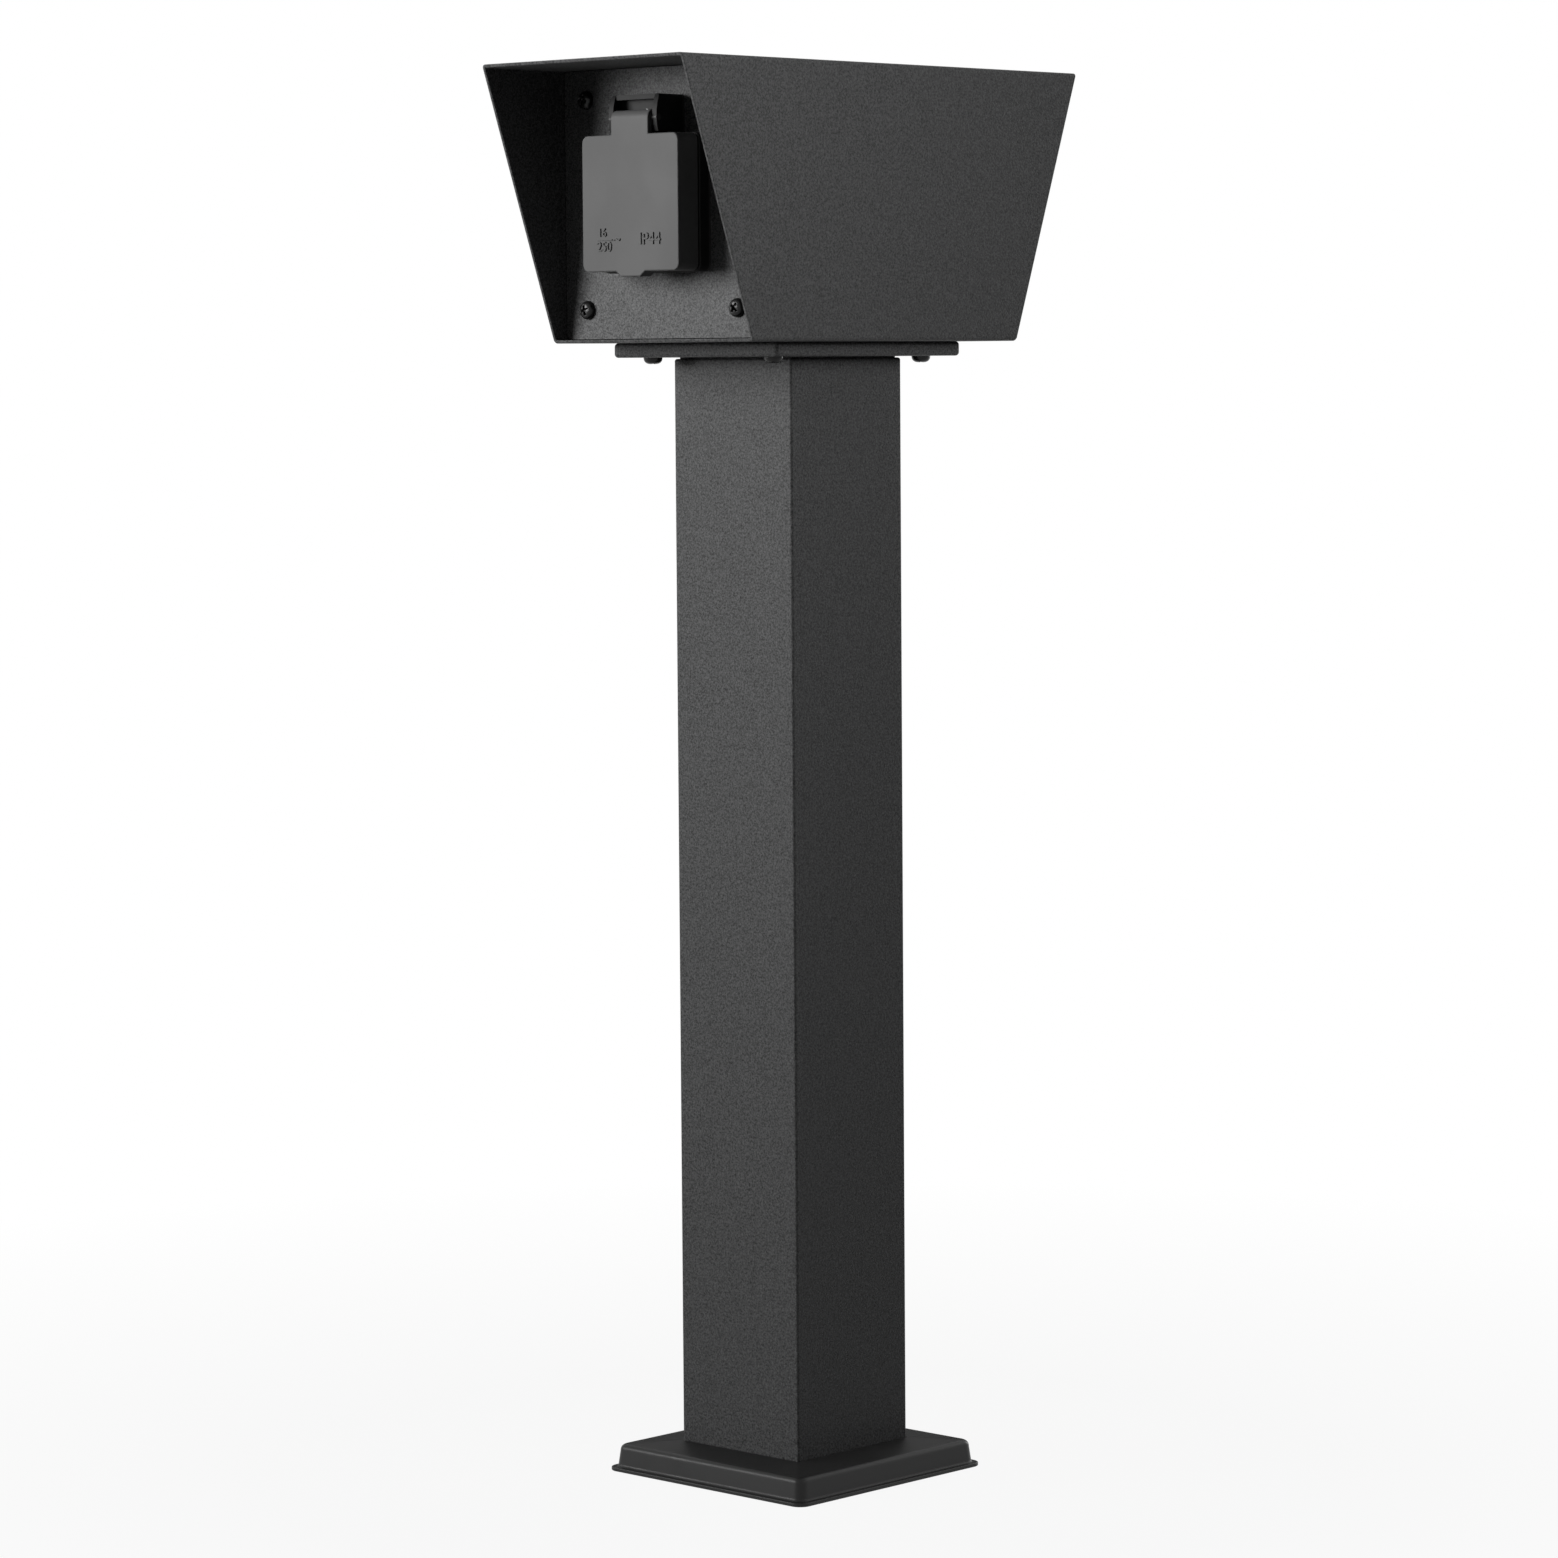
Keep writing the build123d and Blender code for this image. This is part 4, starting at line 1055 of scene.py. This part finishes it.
    def bar(self, x: float, y: float, width: float, height: float) -> Surface:
        """The line of a fraction, as a thin raised bar with rounded corners."""
        widths, heights, radii = np.outer([width, height, height * self.line_round], [1.0, 1.0])
        levels = np.array([-self.mark_rise, self.mark_rise])
        rings = rounded_rings(widths, heights, radii, levels, arc_steps=2)
        return skin(rings + np.array([x, y, 0.0]))


@dataclass
class FootWeld:
    """The fillet weld between the post's foot and the foot plate, under the cover.

    hollow is how far its face lies from the post and the plate at its middle, as a share of the leg.
    """

    leg: float = 0.0018
    hollow: float = 0.36
    hollow_round: float = 0.0012
    edge: float = 0.0001
    sunk: float = 0.0003
    corner: float = 0.0014
    side_points: int = 150
    ripple: float = 0.00012
    pitch: float = 0.0016

    def build(self) -> None:
        """Carries a hollow triangular section round the post, with ripples along it.

        Formula: the section's outer points move out and up by r |sin(pi s / p)|, for the ripple r,
        the length s along the ring and the pitch p.
        """
        low, high = corners("post_tube")
        middle = self.leg * self.hollow
        profile = rounded_profile([
            (self.sunk, low[2] - self.sunk, self.edge),
            (-self.leg, low[2] - self.sunk, self.edge),
            (-middle, low[2] + middle, self.hollow_round),
            (self.sunk, low[2] + self.leg, self.edge),
        ])
        inset, height = profile[:, 0], profile[:, 1]
        rings = carried(profile, high[0] - low[0], self.corner - inset, arc_steps=6,
                        side_steps=self.side_points)
        step = np.linalg.norm(np.roll(rings, -1, axis=1) - rings, axis=-1)
        length = np.cumsum(step, axis=1)
        outer = (inset < 0)[:, None] * (height > low[2])[:, None]
        wave = self.ripple * np.abs(np.sin(math.pi * length / self.pitch)) * outer
        way = rings[..., :2] / np.linalg.norm(rings[..., :2], axis=-1, keepdims=True)
        rings[..., :2] += way * wave[..., None]
        rings[..., 2] += wave
        make_piece("foot_weld", skin(rings, loop=True), "post", "powder_coat")


class CarriedOver:
    """The CAD nodes that stay as they are and only get their finish."""

    def build(self) -> None:
        """Dresses every CAD node by the record's slots, with a few finishes of their own that carry painted light
        or painted shade.
        """
        finishes = {part["node"]: part["material_slot"] for part in frame["record"]["subparts"]}
        # Painted light on the neck plate and the panels, and painted shade on the hinge pins, by finishes of their
        # own.
        finishes["neck_plate"] = "neck_plate"
        for end in End:
            for kind in ("panel", "hinge_pin"):
                finishes[end.node(kind)] = kind
        for name, node in frame["nodes"].items():
            finish = FINISHES[finishes[name]]
            node.data.materials.clear()
            node.data.materials.append(finish.material())
            log.info("%s: CAD node dressed in %s", name, finish.name)


# Studio


@dataclass
class Flag:
    """A dim board that only reflections see, as photographers stand one behind a dark product."""

    place: Triple = (-2.1, 2.2, 0.75)
    width: float = 3.0
    height: float = 1.5
    shade: float = 0.025

    def build(self) -> None:
        """Makes the board upright, with its face towards the object."""
        centre = np.array(self.place)
        way = np.array([centre[1], -centre[0], 0.0]) / math.hypot(centre[0], centre[1])
        across = way * self.width / 2
        upright = np.array([0.0, 0.0, self.height / 2])
        points = np.array([centre - across - upright, centre + across - upright,
                           centre + across + upright, centre - across + upright])
        board = make_mesh("dim_board", Surface(points, [[0, 1, 2, 3]]))
        board.data.materials.append(Felt("Grey felt", self.shade).material())
        board.visible_camera = board.visible_diffuse = False
        board.visible_shadow = board.visible_transmission = False


@dataclass
class Lamp:
    """A soft light: its place, width, height, power in watts, target and beam in degrees."""

    name: str
    place: Triple
    width: float
    height: float
    power: float
    target: Triple
    beam: float = 180.0

    def build(self) -> None:
        """Makes the light and turns it to its target."""
        data = bpy.data.lights.new(self.name, "AREA")
        data.shape = "RECTANGLE"
        data.size, data.size_y = self.width, self.height
        data.energy = self.power
        data.spread = math.radians(self.beam)
        made = bpy.data.objects.new(self.name, data)
        made.location = self.place
        aim = Vector(self.target) - Vector(self.place)
        made.rotation_euler = aim.to_track_quat("-Z", "Y").to_euler()
        bpy.context.scene.collection.objects.link(made)


@dataclass
class Studio:
    """A pale floor that runs out to white, soft lights, a dim board and the world round them.

    The floor lies a hair under the object. first_ring is the first of the shares whose squares set
    its rings.
    """

    floor_radius: float = 8.0
    floor_gap: float = 0.0001
    floor_shade: float = 0.18
    floor_rings: int = 24
    floor_sides: int = 96
    first_ring: float = 0.05
    ambient: float = 0.03
    lamps: tuple[Lamp, ...] = (
        Lamp("Key light", (-1.08, -1.45, 0.86), 0.9, 0.9, 8.6, (0.3, 0.1, 0.84), 70.0),
        Lamp("Side light", (1.4, 0.35, 1.0), 0.5, 0.8, 4.15, (0.05, -0.6, 0.88), 66.0),
        Lamp("Back light", (0.2, 2.3, 0.7), 1.0, 1.0, 13.0, (0.0, 0.0, 0.4)),
    )

    def build(self) -> None:
        """Builds the floor, the world and the lamps."""
        self.build_floor()
        self.build_world()
        Flag().build()
        for lamp in self.lamps:
            lamp.build()

    def build_floor(self) -> None:
        """A round floor. Formula: the rings' radii are the squares of evenly spaced shares."""
        radius = self.floor_radius * np.linspace(self.first_ring, 1.0, self.floor_rings) ** 2
        profile = np.stack([radius, np.full_like(radius, -self.floor_gap)], axis=1)
        rings = turned(profile, around=self.floor_sides)
        index = np.arange(rings.shape[0] * rings.shape[1]).reshape(rings.shape[:2])
        inner, outer = index[:-1], index[1:]
        quads = np.stack([inner, outer, np.roll(outer, -1, axis=1), np.roll(inner, -1, axis=1)],
                         axis=-1)
        faces = quads.reshape(-1, 4).tolist() + [index[0].tolist()]
        floor = make_mesh("floor", Surface(rings.reshape(-1, 3), faces))
        floor.data.materials.append(Paper("Floor paper", self.floor_shade).material())

    def build_world(self) -> None:
        """White to the camera and in reflections, and a dim even light to everything else."""
        world = bpy.data.worlds.new("Studio")
        bpy.context.scene.world = world
        world.use_nodes = True
        world.node_tree.nodes.clear()
        tree = Tree(world.node_tree)
        path = tree.node("LightPath")
        seen = path.outputs["Is Camera Ray"]
        for kind in ("Is Glossy Ray", "Is Transmission Ray"):
            seen = tree.math("MAXIMUM", seen, path.outputs[kind])
        back = tree.node("Background", Color=grey(1.0), Strength=tree.spread(seen, self.ambient, 1.0))
        tree.node("OutputWorld", Surface=back.outputs[0])


@dataclass
class PhotoCamera:
    """The camera of the photograph, fitted to the object's measured edges."""

    place: Triple = (1.33565, -1.41491, 0.41759)
    azimuth: float = 43.349
    side_shift: float = -0.004272
    aim_height: float = 0.26211
    roll: float = -0.40
    focal_pixels: float = 5198.9
    frame_pixels: float = 1558.0
    sensor: float = 36.0
    nearest: float = 0.05
    farthest: float = 50.0

    def build(self) -> None:
        """Makes the camera, aims it and sets its lens from the focal length in pixels."""
        turn = math.radians(self.azimuth)
        shift = self.side_shift
        aim = Vector((math.cos(turn) * shift, math.sin(turn) * shift, self.aim_height))
        ahead = (aim - Vector(self.place)).normalized()
        right = ahead.cross(Vector((0, 0, 1))).normalized()
        up = right.cross(ahead)
        lean = math.radians(self.roll)
        right, up = (right * math.cos(lean) + up * math.sin(lean),
                     up * math.cos(lean) - right * math.sin(lean))
        data = bpy.data.cameras.new("Photo camera")
        data.sensor_width = self.sensor
        data.lens = self.focal_pixels * self.sensor / self.frame_pixels
        data.clip_start, data.clip_end = self.nearest, self.farthest
        camera = bpy.data.objects.new("Photo camera", data)
        turned_axes = Matrix((right, up, -ahead)).transposed().to_4x4()
        camera.matrix_world = Matrix.Translation(self.place) @ turned_axes
        bpy.context.scene.collection.objects.link(camera)
        bpy.context.scene.camera = camera


def main() -> None:
    """Builds the camera, the studio and the object's pieces in order."""
    logging.basicConfig(level=logging.INFO, format="%(name)s %(message)s")
    bpy.context.scene.view_settings.view_transform = "Standard"
    PhotoCamera().build()
    Studio().build()
    CarriedOver().build()
    Hood().build()
    PostTube().build()
    BaseCover().build()
    FootWeld().build()
    PanHeadScrews("hood_screws").build(np.array([0.0, 0.0, -1.0]))
    for end in End:
        SocketEnd(end).build()


if __name__ == "__main__":
    main()
